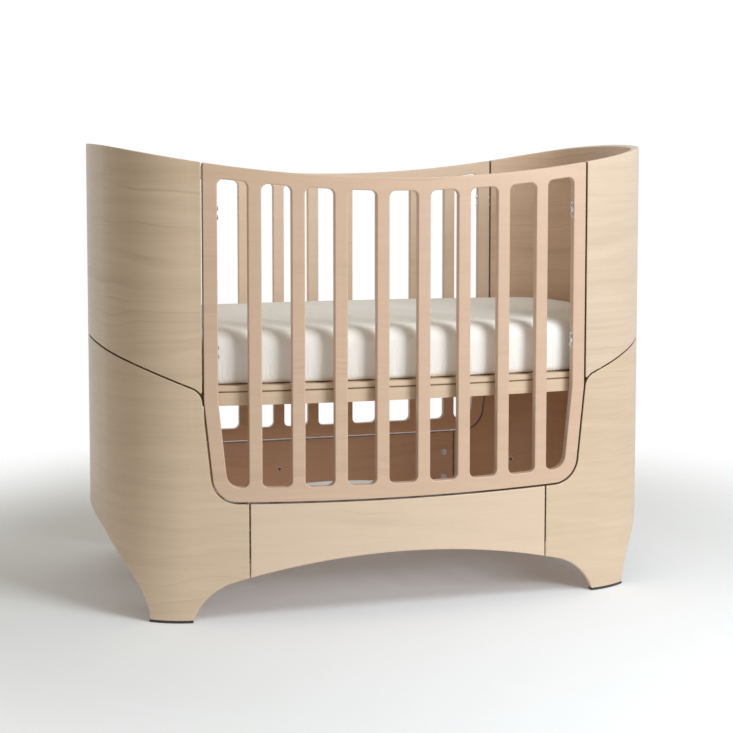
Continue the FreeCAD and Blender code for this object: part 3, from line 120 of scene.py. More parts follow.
class Wire:
    """A value socket that Python arithmetic can be written with."""

    def __init__(self, nodes: "Nodes", socket: bpy.types.NodeSocket) -> None:
        """Keep the socket and the node tree that it belongs to."""
        self.nodes = nodes
        self.socket = socket

    def maths(self, operation: str, *values: Union["Wire", Number]) -> "Wire":
        """Add a Math node.

        Args:
            operation: The Math node's operation.
            values: What goes into its sockets, in order.

        Returns:
            The node's result.
        """
        made = self.nodes.node("ShaderNodeMath", {"operation": operation},
                               dict(enumerate(values)))
        return Wire(self.nodes, made.outputs[0])

    def __add__(self, other: Union["Wire", Number]) -> "Wire":
        """Add."""
        return self.maths("ADD", self, other)

    __radd__ = __add__

    def __mul__(self, other: Union["Wire", Number]) -> "Wire":
        """Multiply."""
        return self.maths("MULTIPLY", self, other)

    __rmul__ = __mul__

    def __sub__(self, other: Union["Wire", Number]) -> "Wire":
        """Subtract."""
        return self.maths("SUBTRACT", self, other)

    def __rsub__(self, other: Number) -> "Wire":
        """Subtract this value from a number."""
        return self.maths("SUBTRACT", other, self)

    def __truediv__(self, other: Union["Wire", Number]) -> "Wire":
        """Divide."""
        return self.maths("DIVIDE", self, other)

    def __lt__(self, other: Union["Wire", Number]) -> "Wire":
        """Return 1 where this is the smaller value, else 0."""
        return self.maths("LESS_THAN", self, other)

    def __gt__(self, other: Union["Wire", Number]) -> "Wire":
        """Return 1 where this is the larger value, else 0."""
        return self.maths("GREATER_THAN", self, other)

    def __abs__(self) -> "Wire":
        """Drop the sign."""
        return self.maths("ABSOLUTE", self)

    def root(self) -> "Wire":
        """Take the square root."""
        return self.maths("SQRT", self)

    def sign(self) -> "Wire":
        """Keep only the sign."""
        return self.maths("SIGN", self)

    def wave(self) -> "Wire":
        """Take the cosine."""
        return self.maths("COSINE", self)

    def step(self, low: float, high: float, ease: str = "SMOOTHSTEP") -> "Wire":
        """Rise from 0 to 1.

        Args:
            low: Where the rise starts.
            high: Where it ends.
            ease: SMOOTHSTEP for a soft start and end, or LINEAR.

        Returns:
            The risen value.
        """
        made = self.nodes.node("ShaderNodeMapRange", {"interpolation_type": ease},
                               {"Value": self, "From Min": low, "From Max": high})
        return Wire(self.nodes, made.outputs["Result"])


Feed = Union[Wire, bpy.types.NodeSocket, Number, tuple]


class Nodes:
    """A node tree and what adds to it."""

    def __init__(self, tree: bpy.types.NodeTree) -> None:
        """Keep the tree and add its coordinates.

        Args:
            tree: The node tree.
        """
        self.tree = tree
        self.place = self.node("ShaderNodeTexCoord", {}, {})

    def node(self, kind: str, settings: dict[str, object],
             inputs: dict[Union[str, int], Feed]) -> bpy.types.Node:
        """Add any node.

        Args:
            kind: The node's type.
            settings: Its settings, such as an operation, which are set first.
            inputs: What goes into its sockets: numbers, tuples, sockets or wires.

        Returns:
            The new node.
        """
        made = self.tree.nodes.new(kind)
        for key, setting in settings.items():
            setattr(made, key, setting)
        for key, feed in inputs.items():
            self.feed(made.inputs[key], feed)
        return made

    def feed(self, socket: bpy.types.NodeSocket, feed: Feed) -> None:
        """Link or set one input.

        Args:
            socket: The input.
            feed: A wire, a socket, or a plain value.
        """
        if isinstance(feed, Wire):
            feed = feed.socket
        if isinstance(feed, bpy.types.NodeSocket):
            self.tree.links.new(feed, socket)
        else:
            socket.default_value = feed

    def parts(self, output: str = "Object") -> tuple[Wire, Wire, Wire]:
        """Split a coordinate into its three values.

        Args:
            output: The Texture Coordinate output to read.

        Returns:
            Its x, y and z.
        """
        made = self.node("ShaderNodeSeparateXYZ", {}, {0: self.place.outputs[output]})
        x, y, z = made.outputs
        return Wire(self, x), Wire(self, y), Wire(self, z)

    def noise(self, scale: Colour, detail: float = 2.0, shift: Colour = (0, 0, 0),
              roughness: float = 0.5, distortion: float = 0.0) -> Wire:
        """Read stretched noise at the object's coordinates.

        Args:
            scale: How often the noise changes per metre, along each axis.
            detail: The noise's octaves.
            shift: Where in the noise this piece is cut from.
            roughness: How strong the finer octaves are.
            distortion: How much the noise is bent.

        Returns:
            The noise, about 0.5.
        """
        put = self.node("ShaderNodeMapping", {"vector_type": "POINT"},
                        {"Vector": self.place.outputs["Object"], "Scale": scale,
                         "Location": shift})
        made = self.node("ShaderNodeTexNoise", {"noise_dimensions": "3D"},
                         {"Vector": put.outputs[0], "Scale": 1.0, "Detail": detail,
                          "Roughness": roughness, "Distortion": distortion})
        return Wire(self, made.outputs[0])

    def line_noise(self, along: Wire, detail: float = 2.0) -> Wire:
        """Read noise that changes only with one value.

        Args:
            along: The value.
            detail: The noise's octaves.

        Returns:
            The noise, about 0.5.
        """
        made = self.node("ShaderNodeTexNoise", {"noise_dimensions": "1D"},
                         {"W": along, "Scale": 1.0, "Detail": detail})
        return Wire(self, made.outputs[0])

    def mix(self, share: Feed, first: Feed, second: Feed, blend: str = "MIX") -> (
            bpy.types.NodeSocket):
        """Mix two colours.

        Args:
            share: How much of the second colour.
            first: The first colour.
            second: The second colour.
            blend: The blend type.

        Returns:
            The mixed colour.
        """
        made = self.node("ShaderNodeMix", {"data_type": "RGBA", "blend_type": blend},
                         {0: share, 6: opaque(first), 7: opaque(second)})
        return made.outputs[2]


class Shader(Nodes):
    """A Principled material and the nodes that feed it."""

    def __init__(self, name: str) -> None:
        """Start a material.

        Args:
            name: The material's name.
        """
        self.material = bpy.data.materials.new(name)
        self.material.use_nodes = True
        super().__init__(self.material.node_tree)
        self.surface = self.tree.nodes["Principled BSDF"]

    def set(self, **values: Feed) -> None:
        """Set inputs of the surface, with underscores for the spaces in their names."""
        for key, feed in values.items():
            self.feed(self.surface.inputs[key.replace("_", " ")], feed)

    def bump(self, height: Wire, distance: float, strength: float) -> None:
        """Raise the surface by a height between 0 and 1.

        Args:
            height: The height.
            distance: What a height of 1 is, in metres.
            strength: How strongly it shows.
        """
        made = self.node("ShaderNodeBump", {}, {"Strength": strength, "Distance": distance,
                                                "Height": height})
        self.feed(self.surface.inputs["Normal"], made.outputs[0])


def opaque(colour: Feed) -> Feed:
    """Give a plain colour its alpha."""
    return (*colour, 1.0) if isinstance(colour, tuple) and len(colour) == 3 else colour


def times(share: float, triple: Colour) -> Colour:
    """Multiply the three values of a colour or a place."""
    return tuple(share * part for part in triple)


# ---------------------------------------------------------------- finishes

class Cut(Enum):
    """How a piece of wood was cut and so which way its grain runs."""

    BENT = "bent plywood, grain round the oval"
    FLAT = "flat plywood, grain along the crib"
    CROSS = "solid board, grain across the crib"
    TURNED = "turned peg"


class Seam(Enum):
    """Which of a bent piece's sawn edges close a seam, and so get the seam's painted shade."""

    NONE = "none"
    UPPER = "all but the rim"
    LOWER = "all above the arches"
    PANEL = "the outline, not the openings"


GRAIN: dict[Cut, Colour] = {
    Cut.BENT: (1.0, 1.0, 1.0),
    Cut.FLAT: (0.6, 7.0, 7.0),
    Cut.CROSS: (7.0, 0.6, 7.0),
    Cut.TURNED: (4.0, 4.0, 0.6),
}

WHITE: Colour = (1.0, 1.0, 1.0)
# Painted shade: the warm tint laid on inner faces, standing for light bounced inside the crib.
INNER_PAINTED_SHADE: Colour = (1.00, 0.74, 0.58)
# Painted shade: the dark brown laid on seam edges and groove lines, for the shade in those gaps.
PAINTED_SHADE_BROWN: Colour = (0.170, 0.100, 0.062)


@dataclass(frozen=True)
class Speckle:
    """Noise in the wood: how often it changes per metre, its octaves and its strength."""

    scale: Colour
    detail: float
    strength: float
    distortion: float = 0.0


@dataclass(frozen=True)
class Figure:
    """What the wood's figure is made of, before a cut stretches it."""

    warp: Speckle = Speckle((1.5, 1.5, 2.6), 3.0, 0.20)
    ripple: Speckle = Speckle((6.0, 6.0, 14.0), 2.0, 0.010)
    fade: Speckle = Speckle((3.0, 3.0, 6.0), 1.0, 0.36)
    fibre: Speckle = Speckle((16.0, 16.0, 520.0), 2.0, 0.55)
    fleck: Speckle = Speckle((110.0, 110.0, 900.0), 1.0, 0.16)
    cloud: Speckle = Speckle((2.2, 2.2, 3.4), 2.0, 0.7)
    streak: Speckle = Speckle((5.0, 5.0, 110.0), 2.0, 0.7, 0.3)
    bands: float = 30.0
    band_strength: float = 0.8
    ridges: float = 17.0
    vein_width: float = 0.022
    vein_reach: Span = (0.46, 0.68)
    fleck_reach: Span = (0.64, 0.76)
    middle: float = 0.42
    cut_spread: Colour = (1.0, 0.7, 1.3)
    fade_cut: Span = (4.0, 9.0)
    cloud_cut: Span = (3.0, 1.0)


@dataclass(frozen=True)
class Lacquer:
    """The clear satin lacquer over the wood, and how far the fibres show through it."""

    coat: float = 0.30
    coat_roughness: float = 0.15
    gloss: float = 0.22
    unevenness: float = 0.16
    relief: float = 0.12 * MM
    relief_strength: float = 0.6
    relief_shares: Colour = (0.7, 0.3, 0.2)


@dataclass(frozen=True)
class SawnEdge:
    """The sawn edges of bent plywood: its layers, and the painted shade on edges that close a seam.
    """

    ply_pair: float = 2.8 * MM
    glue_line: Span = (-0.2, 0.95)
    glue_depth: float = 0.5
    pale_share: float = 0.97
    shown: float = 0.72
    # How strongly the edges that close a seam are painted with shade.
    seam_shade: float = 0.85
    across_wall: Span = (0.45, 0.85)
    # Where the inner face's painted warm shade lies, and how softly it stops at its height.
    inner_face: Span = (-0.8, -0.4)
    inner_blend: float = 0.03
    rim_slope: float = 0.6
    above_arches: float = 0.12
    downwards: float = -0.3
    panel_sole: float = 0.4
    panel_side: float = 0.386
    sideways: float = 0.3
    # The painted shadow line at a groove: its half width and how dark it is.
    groove_line: Span = (0.9 * MM, 2.6 * MM)
    groove_shadow_share: float = 0.8


FIGURE, LACQUER, EDGE = Figure(), Lacquer(), SawnEdge()


@dataclass(frozen=True)
class WoodFinish:
    """Pale lacquered wood with soft horizontal figure, thin veins and small flecks.

    The wall's inner face gets a painted warm shade, by the share inner, up to the height
    inner_top. A groove gets a painted dark shadow line at its height, and 0 leaves it out.
    """

    name: str
    pale: Colour
    deep: Colour
    vein: Colour
    cut: Cut = Cut.BENT
    shift: float = 0.0
    figure: float = 1.0
    roughness: float = 0.46
    # The share of painted warm shade on the inner face, and the height where it stops.
    inner: float = 0.0
    inner_top: float = 2.0
    seam: Seam = Seam.NONE
    groove: float = 0.0

    def build(self) -> bpy.types.Material:
        """Make the material.

        Returns:
            The finished material.
        """
        shader = Shader(self.name)
        shift = times(self.shift, FIGURE.cut_spread)
        bands, veins = self.rings(shader, shift)
        fibre = self.speckle(shader, FIGURE.fibre, shift)
        fleck = self.speckle(shader, FIGURE.fleck, shift).step(*FIGURE.fleck_reach)
        aside, above = FIGURE.cloud_cut
        cloud = self.speckle(shader, FIGURE.cloud, (aside, self.shift, above))
        streak = self.speckle(shader, FIGURE.streak, shift)
        tone = ((bands - 0.5) * FIGURE.band_strength + (fibre - 0.5) * FIGURE.fibre.strength
                + (streak - 0.5) * FIGURE.streak.strength
                + (cloud - 0.5) * FIGURE.cloud.strength) * self.figure + FIGURE.middle
        colour = shader.mix(tone, self.pale, self.deep)
        colour = shader.mix(veins * (FIGURE.fade.strength * self.figure), colour, self.vein)
        colour = shader.mix(fleck * FIGURE.fleck.strength, colour, self.vein)
        if self.cut is Cut.BENT:
            colour = self.saw(shader, colour)
        if self.groove:
            # Painted shadow: a dark line at the groove's height, for the shade where the board sits
            # on its rails.
            _, _, z = shader.parts()
            line = 1 - abs(z - self.groove).step(*EDGE.groove_line)
            colour = shader.mix(line * EDGE.groove_shadow_share, colour, PAINTED_SHADE_BROWN)
        fibres, rings, flecks = LACQUER.relief_shares
        shader.bump(fibre * fibres + bands * rings - fleck * flecks, LACQUER.relief,
                    LACQUER.relief_strength)
        shader.set(Base_Color=colour, Roughness=(fibre - 0.5) * LACQUER.unevenness + self.roughness,
                   Coat_Weight=LACQUER.coat, Coat_Roughness=LACQUER.coat_roughness,
                   Specular_IOR_Level=LACQUER.gloss)
        return shader.material

    def speckle(self, shader: Shader, speckle: Speckle, shift: Colour) -> Wire:
        """Read one part of the figure, stretched along this cut's grain.

        Args:
            shader: The material in the making.
            speckle: The part of the figure.
            shift: Where in the noise this piece is cut from.

        Returns:
            The noise, about 0.5.
        """
        scale = tuple(part * stretch for part, stretch in zip(speckle.scale, GRAIN[self.cut]))
        return shader.noise(scale, speckle.detail, shift, distortion=speckle.distortion)

    def rings(self, shader: Shader, shift: Colour) -> tuple[Wire, Wire]:
        """Lay the soft bands of the growth rings and the thin dark veins between them.

        Args:
            shader: The material in the making.
            shift: Where in the noise this piece is cut from.

        Returns:
            The bands, about 0.5, and a mask of the veins.
        """
        warp = self.speckle(shader, FIGURE.warp, shift) - 0.5
        ripple = self.speckle(shader, FIGURE.ripple, shift) - 0.5
        level = (self.level(shader) + warp * FIGURE.warp.strength
                 + ripple * FIGURE.ripple.strength + self.shift)
        ridge = abs(shader.line_noise(level * FIGURE.ridges, 1.0) - 0.5)
        fade = self.speckle(shader, FIGURE.fade, (shift[1], *FIGURE.fade_cut))
        veins = (1 - ridge.step(0.0, FIGURE.vein_width)) * fade.step(*FIGURE.vein_reach)
        return shader.line_noise(level * FIGURE.bands, 3.0), veins

    def level(self, shader: Shader) -> Wire:
        """Return the value that the grain's bands are stacked along.

        Args:
            shader: The material in the making.

        Returns:
            The height above the floor, or the distance across a board's grain.
        """
        x, y, z = shader.parts()
        return {Cut.BENT: z, Cut.FLAT: y + z, Cut.CROSS: x + z, Cut.TURNED: x + y}[self.cut]

    def saw(self, shader: Shader, colour: Feed) -> Feed:
        """Paint shade on the inner face and the seam's edges, and colour the sawn edges' layers.

        Args:
            shader: The material in the making.
            colour: The colour of the veneer.

        Returns:
            The colour of the bent wall.
        """
        edge, plies, inside = self.sawn_edge(shader)
        _, _, z = shader.parts()
        # Painted shade: a warm tint on the inner face, below a set height, for light bounced inside
        # the crib.
        below = 1 - z.step(self.inner_top - EDGE.inner_blend, self.inner_top + EDGE.inner_blend)
        colour = shader.mix(inside * below * self.inner, colour, INNER_PAINTED_SHADE, "MULTIPLY")
        layered = shader.mix(plies, times(EDGE.pale_share, self.pale), self.vein)
        colour = shader.mix(edge * EDGE.shown, colour, layered)
        # Painted shade: the sawn edges that close a seam are painted dark brown, for the shade in
        # its gap.
        if self.seam is not Seam.NONE:
            colour = shader.mix(edge * self.closed(shader) * EDGE.seam_shade, colour, PAINTED_SHADE_BROWN)
        return colour

    def closed(self, shader: Shader) -> Wire:
        """Find the sawn edges that close a seam.

        Args:
            shader: The material in the making.

        Returns:
            1 on those edges, if they are sawn at all, and 0 elsewhere.
        """
        x, _, z = shader.parts()
        out_x, _, out_z = shader.parts("Normal")
        if self.seam is Seam.UPPER:
            return out_z < EDGE.rim_slope
        if self.seam is Seam.LOWER:
            return (z > EDGE.above_arches) * (out_z > EDGE.downwards)
        sole = (out_z < EDGE.downwards) * (z < EDGE.panel_sole)
        side = (abs(x) > EDGE.panel_side) * (out_x * x.sign() > EDGE.sideways)
        return (sole + side).step(0.0, 1.0)

    def sawn_edge(self, shader: Shader) -> tuple[Wire, Wire, Wire]:
        """Find the sawn edges of the bent wall and their layers.

        Args:
            shader: The material in the making.

        Returns:
            A mask of the sawn edges, the layers' dark glue lines, and the wall's inner face.
        """
        x, y, _ = shader.parts()
        out_x, out_y, _ = shader.parts("Normal")
        ax, ay = abs(x), abs(y)
        out_x, out_y = out_x * x.sign(), out_y * y.sign()
        corner_radius, end_radius = OVAL.radii()
        corner_x, corner_y = OVAL.corner_centre()
        side_y = ay + OVAL.side_centre()
        cx, cy = ax - corner_x, ay - corner_y
        ex = ax - OVAL.end_centre()
        spots = ((ax, side_y, OVAL.side_radius), (cx, cy, corner_radius), (ex, ay, end_radius))
        insets, facings = [], []
        for along, over, radius in spots:
            reach = (along * along + over * over).root()
            insets.append(radius - reach)
            facings.append((out_x * along + out_y * over) / reach)
        on_side = ax < side_y * math.tan(OVAL.side_turn)
        on_end = ay < ex * math.tan(math.pi / 2 - OVAL.corner_turn)
        on_corner = 1 - on_side - on_end
        shares = (on_side, on_corner, on_end)
        inset = sum_of(share * inset for share, inset in zip(shares, insets))
        facing = sum_of(share * facing for share, facing in zip(shares, facings))
        layers = (inset * (2 * math.pi / EDGE.ply_pair)).wave().step(*EDGE.glue_line)
        return (1 - abs(facing).step(*EDGE.across_wall), layers * EDGE.glue_depth,
                1 - facing.step(*EDGE.inner_face))


def sum_of(wires: Iterable[Wire]) -> Wire:
    """Add up wires."""
    return functools.reduce(operator.add, wires)


@dataclass(frozen=True)
class MetalFinish:
    """Plated or turned metal with fine scratches and dull spots."""

    name: str
    colour: Colour
    roughness: float = 0.32
    scratches: Colour = (900, 900, 140)
    scratch_depth: float = 0.03 * MM
    scratch_strength: float = 0.5
    scratch_haze: float = 0.15
    dulling: float = 70
    dull_reach: Span = (0.45, 0.7)
    dull_share: float = 0.72
    dull_haze: float = 0.3

    def build(self) -> bpy.types.Material:
        """Make the material.

        Returns:
            The finished material.
        """
        shader = Shader(self.name)
        scratch = shader.noise(self.scratches, 3.0)
        dull = shader.noise((self.dulling,) * 3, 3.0)
        dark = times(self.dull_share, self.colour)
        haze = (dull - 0.5) * self.dull_haze + (scratch - 0.5) * self.scratch_haze
        shader.bump(scratch, self.scratch_depth, self.scratch_strength)
        shader.set(Base_Color=shader.mix(dull.step(*self.dull_reach), self.colour, dark),
                   Metallic=1.0, Roughness=haze + self.roughness)
        return shader.material


@dataclass(frozen=True)
class PlasticFinish:
    """Moulded plastic with a fine grain."""

    name: str
    colour: Colour
    roughness: float = 0.5
    grain: float = 1400
    grain_depth: float = 0.05 * MM
    grain_strength: float = 0.6
    clouds: float = 40
    cloud_reach: Span = (0.35, 0.75)
    cloud_share: float = 0.6
    worn_gain: float = 1.5
    worn_lift: float = 0.01
    haze: float = 0.2

    def build(self) -> bpy.types.Material:
        """Make the material.

        Returns:
            The finished material.
        """
        shader = Shader(self.name)
        grain = shader.noise((self.grain,) * 3)
        cloud = shader.noise((self.clouds,) * 3)
        worn = tuple(part + self.worn_lift for part in times(self.worn_gain, self.colour))
        share = cloud.step(*self.cloud_reach) * self.cloud_share
        shader.bump(grain, self.grain_depth, self.grain_strength)
        shader.set(Base_Color=shader.mix(share, self.colour, worn),
                   Roughness=(cloud - 0.5) * self.haze + self.roughness)
        return shader.material


@dataclass(frozen=True)
class ClothFinish:
    """Woven cotton: two crossing threads, slubs, creases, drawn folds and a soft sheen."""

    name: str
    colour: Colour
    hem: float
    thread: float = 0.9 * MM
    weft_climb: float = 1.414
    hem_rise: Span = (0.0, 10 * MM)
    hem_fade: Span = (20 * MM, 85 * MM)
    shade_share: float = 0.90
    slubs: float = 420
    clouds: Colour = (9, 9, 12)
    creases: Colour = (16, 16, 9)
    crease_bend: float = 0.7
    folds: Colour = (90, 90, 12)
    fold_bend: float = 1.4
    rough_octaves: float = 0.6
    tone_shares: Colour = (0.30, 0.35, 0.5)
    tone_middle: float = 0.18
    relief: float = 1.6 * MM
    relief_strength: float = 0.65
    relief_shares: Colour = (0.06, 0.05, 1.1)
    fold_share: float = 2.4
    roughness: float = 0.86
    haze: float = 0.2
    sheen: float = 0.25
    sheen_roughness: float = 0.5
    gloss: float = 0.25

    def build(self) -> bpy.types.Material:
        """Make the material.

        Returns:
            The finished material.
        """
        shader = Shader(self.name)
        weave = self.weave(shader)
        slub = shader.noise((self.slubs,) * 3)
        cloud = shader.noise(self.clouds, 3.0)
        crease = shader.noise(self.creases, 4.0, roughness=self.rough_octaves,
                              distortion=self.crease_bend)
        drawn = shader.noise(self.folds, 3.0, roughness=self.rough_octaves,
                             distortion=self.fold_bend)
        shade = times(self.shade_share, self.colour)
        tones, reliefs = self.tone_shares, self.relief_shares
        # Painted shade: the weave's gaps are darker, for the shade between threads; slubs and
        # clouds are the cloth's own uneven tone.
        tone = ((1 - weave) * tones[0] + (slub - 0.5) * tones[1] + (cloud - 0.5) * tones[2]
                + self.tone_middle)
        folds = (drawn - 0.5) * self.near_hem(shader) * self.fold_share
        shader.bump(weave * reliefs[0] + slub * reliefs[1] + crease * reliefs[2] + folds,
                    self.relief, self.relief_strength)
        shader.set(Base_Color=shader.mix(tone, self.colour, shade),
                   Roughness=(slub - 0.5) * self.haze + self.roughness, Sheen_Weight=self.sheen,
                   Sheen_Roughness=self.sheen_roughness, Specular_IOR_Level=self.gloss)
        return shader.material

    def weave(self, shader: Shader) -> Wire:
        """Cross the threads.

        Args:
            shader: The material in the making.

        Returns:
            0 in the gaps, rising to 1 on top of a thread.
        """
        x, y, z = shader.parts()
        turn = 2 * math.pi / self.thread
        warp = ((x + y) * turn).wave()
        weft = ((x - y + z * self.weft_climb) * turn).wave()
        return warp * weft * 0.5 + 0.5

    def near_hem(self, shader: Shader) -> Wire:
        """Find the band above the hem where the cover is drawn in.

        Args:
            shader: The material in the making.

        Returns:
            1 in that band, fading to 0 above and below it.
        """
        _, _, z = shader.parts()
        start, full = (self.hem + rise for rise in self.hem_rise)
        fade, end = (self.hem + rise for rise in self.hem_fade)
        return (1 - z.step(fade, end)) * z.step(start, full)


BOARD_UNDERSIDE, BOARD_TOP = (corner[2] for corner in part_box("base_board"))
GABLE_TONES = ((0.745, 0.590, 0.440), (0.610, 0.465, 0.335), (0.420, 0.295, 0.205))
# The inner share is painted warm shade on the inner face; seams get painted shade on their edges.
UPPER_WOOD = WoodFinish("upper_gable_veneer", *GABLE_TONES, inner=0.3, seam=Seam.UPPER)
# Painted light: a paler, less saturated copy of the gables' veneer for the lamp-lit right upper
# gable.
LIT_RIGHT_GABLE_WOOD = WoodFinish("right_upper_gable_painted_light_veneer", (0.755, 0.610, 0.485), (0.630, 0.490, 0.375),
                        (0.440, 0.315, 0.225), shift=14.6, inner=0.3, seam=Seam.UPPER)
LOWER_WOOD = WoodFinish("lower_gable_veneer", *GABLE_TONES, shift=5.7, figure=0.85, inner=1.0,
                        seam=Seam.LOWER)
SKIRT_WOOD = WoodFinish("skirt_veneer", (0.790, 0.630, 0.490), (0.680, 0.520, 0.390),
                        (0.430, 0.295, 0.210), shift=11.3, figure=0.55, inner=1.0,
                        seam=Seam.LOWER)
PANEL_WOOD = WoodFinish("panel_veneer", (0.735, 0.540, 0.410), (0.620, 0.435, 0.320),
                        (0.420, 0.285, 0.205), shift=2.9, figure=0.55, seam=Seam.PANEL)
# Painted light: paler and less saturated than the front panel's veneer, for the light on the back
# bars; its inner face below the base gets the painted warm shade.
LIT_BACK_PANEL_WOOD = WoodFinish("back_panel_painted_light_veneer", (0.830, 0.660, 0.520), (0.720, 0.550, 0.420),
                       (0.460, 0.320, 0.235), shift=17.2, figure=0.45, inner=1.0,
                       inner_top=0.43, seam=Seam.PANEL)
# groove paints a dark shadow line where the board sits on its rails.
BOARD_WOOD = WoodFinish("board_veneer", (0.770, 0.610, 0.460), (0.630, 0.475, 0.340),
                        (0.400, 0.260, 0.160), cut=Cut.FLAT, shift=7.7,
                        groove=BOARD_UNDERSIDE)
RAIL_WOOD = WoodFinish("base_rail_veneer", (0.780, 0.620, 0.470), (0.640, 0.485, 0.350),
                       (0.400, 0.260, 0.160), cut=Cut.FLAT, shift=8.9, figure=0.7,
                       groove=BOARD_UNDERSIDE)
BEARER_WOOD = WoodFinish("bearer_pine", (0.800, 0.610, 0.390), (0.640, 0.430, 0.240),
                         (0.450, 0.260, 0.130), cut=Cut.CROSS, shift=3.1, roughness=0.62)
PEG_WOOD = WoodFinish("peg_beech", (0.720, 0.530, 0.370), (0.600, 0.410, 0.270),
                      (0.400, 0.240, 0.150), cut=Cut.TURNED, shift=1.7, roughness=0.66)
STEEL = MetalFinish("zinc_plated_steel", (0.74, 0.74, 0.75), 0.30)
CAST_ZINC = MetalFinish("cast_zinc", (0.66, 0.66, 0.68), 0.42)
BRASS = MetalFinish("turned_brass", (0.50, 0.39, 0.25), 0.38)
GLIDE_PLASTIC = PlasticFinish("glide_plastic", (0.045, 0.035, 0.030), 0.55)
COTTON = ClothFinish("mattress_cotton", (0.975, 0.972, 0.955), BOARD_TOP)

Finish = Union[WoodFinish, MetalFinish, PlasticFinish, ClothFinish]


class Finishes:
    """The finishes in use, each made once."""

    made: dict[str, bpy.types.Material] = {}

    @classmethod
    def get(cls, finish: Finish) -> bpy.types.Material:
        """Return a finish's material, made on first use."""
        if finish.name not in cls.made:
            cls.made[finish.name] = finish.build()
        return cls.made[finish.name]


# ---------------------------------------------------------------- modelling tools

def select_only(*objects: bpy.types.Object) -> None:
    """Select these objects and nothing else, the first one active."""
    bpy.ops.object.select_all(action="DESELECT")
    for chosen in objects:
        chosen.select_set(True)
    bpy.context.view_layer.objects.active = objects[0]


def modify(piece: bpy.types.Object, kind: str, **settings: object) -> None:
    """Add a modifier and apply it.

    Args:
        piece: The object.
        kind: The modifier's type.
        settings: Its settings.
    """
    select_only(piece)
    modifier = piece.modifiers.new(kind.lower(), kind)
    for key, setting in settings.items():
        setattr(modifier, key, setting)
    bpy.ops.object.modifier_apply(modifier=modifier.name)


# ---------------------------------------------------------------- sub-assemblies

@dataclass
class Assembly:
    """A body of the crib whose CAD pieces keep their shape and get their finishes."""

    body: str
    finishes: dict[str, Finish] = field(default_factory=dict)

    def dress(self) -> None:
        """Give each CAD piece its material."""
        for node, finish in self.finishes.items():
            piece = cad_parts[node]
            for slot in piece.material_slots:
                slot.material = Finishes.get(finish)
            LOG.info("%s: %s in %s", self.body, node, finish.name)

    def build(self) -> None:
        """Build the body's looks."""
        self.dress()


def lower_frame() -> Assembly:
    """Return the legs, the skirts and their fittings."""
    glides = [f"{depth}_{hand}_glide" for depth in ("front", "back") for hand in ("left", "right")]
    return Assembly("lower_frame", {
        "left_lower_gable": LOWER_WOOD, "right_lower_gable": LOWER_WOOD,
        "front_skirt": SKIRT_WOOD, "back_skirt": SKIRT_WOOD,
        **{glide: GLIDE_PLASTIC for glide in glides},
        "glide_screws": CAST_ZINC, "skirt_cams": CAST_ZINC, "cam_bolts": STEEL,
        "skirt_dowels": PEG_WOOD, "frame_inserts": BRASS})


def crown() -> Assembly:
    """Return the upper gables, the back panel and their fittings."""
    return Assembly("crown", {
        "left_upper_gable": UPPER_WOOD, "right_upper_gable": LIT_RIGHT_GABLE_WOOD,
        "back_panel": LIT_BACK_PANEL_WOOD, "back_stile_plates": STEEL, "back_stile_bolts": STEEL,
        "back_panel_inserts": BRASS, "left_edge_inserts": BRASS, "right_edge_inserts": BRASS,
        "left_seam_dowels": PEG_WOOD, "right_seam_dowels": PEG_WOOD})


def front_panel() -> Assembly:
    """Return the slatted front and its fittings."""
    return Assembly("front_gate", {
        "front_panel": PANEL_WOOD, "front_stile_plates": STEEL, "front_stile_bolts": STEEL,
        "front_panel_inserts": BRASS})


def bed_base() -> Assembly:
    """Return the board, its rails and bearers."""
    return Assembly("bed_base", {
        "base_board": BOARD_WOOD, "front_base_rail": RAIL_WOOD, "back_base_rail": RAIL_WOOD,
        "left_base_hoop": RAIL_WOOD, "right_base_hoop": RAIL_WOOD, "base_bearers": BEARER_WOOD,
        "base_screws": CAST_ZINC, "base_bolts": STEEL})


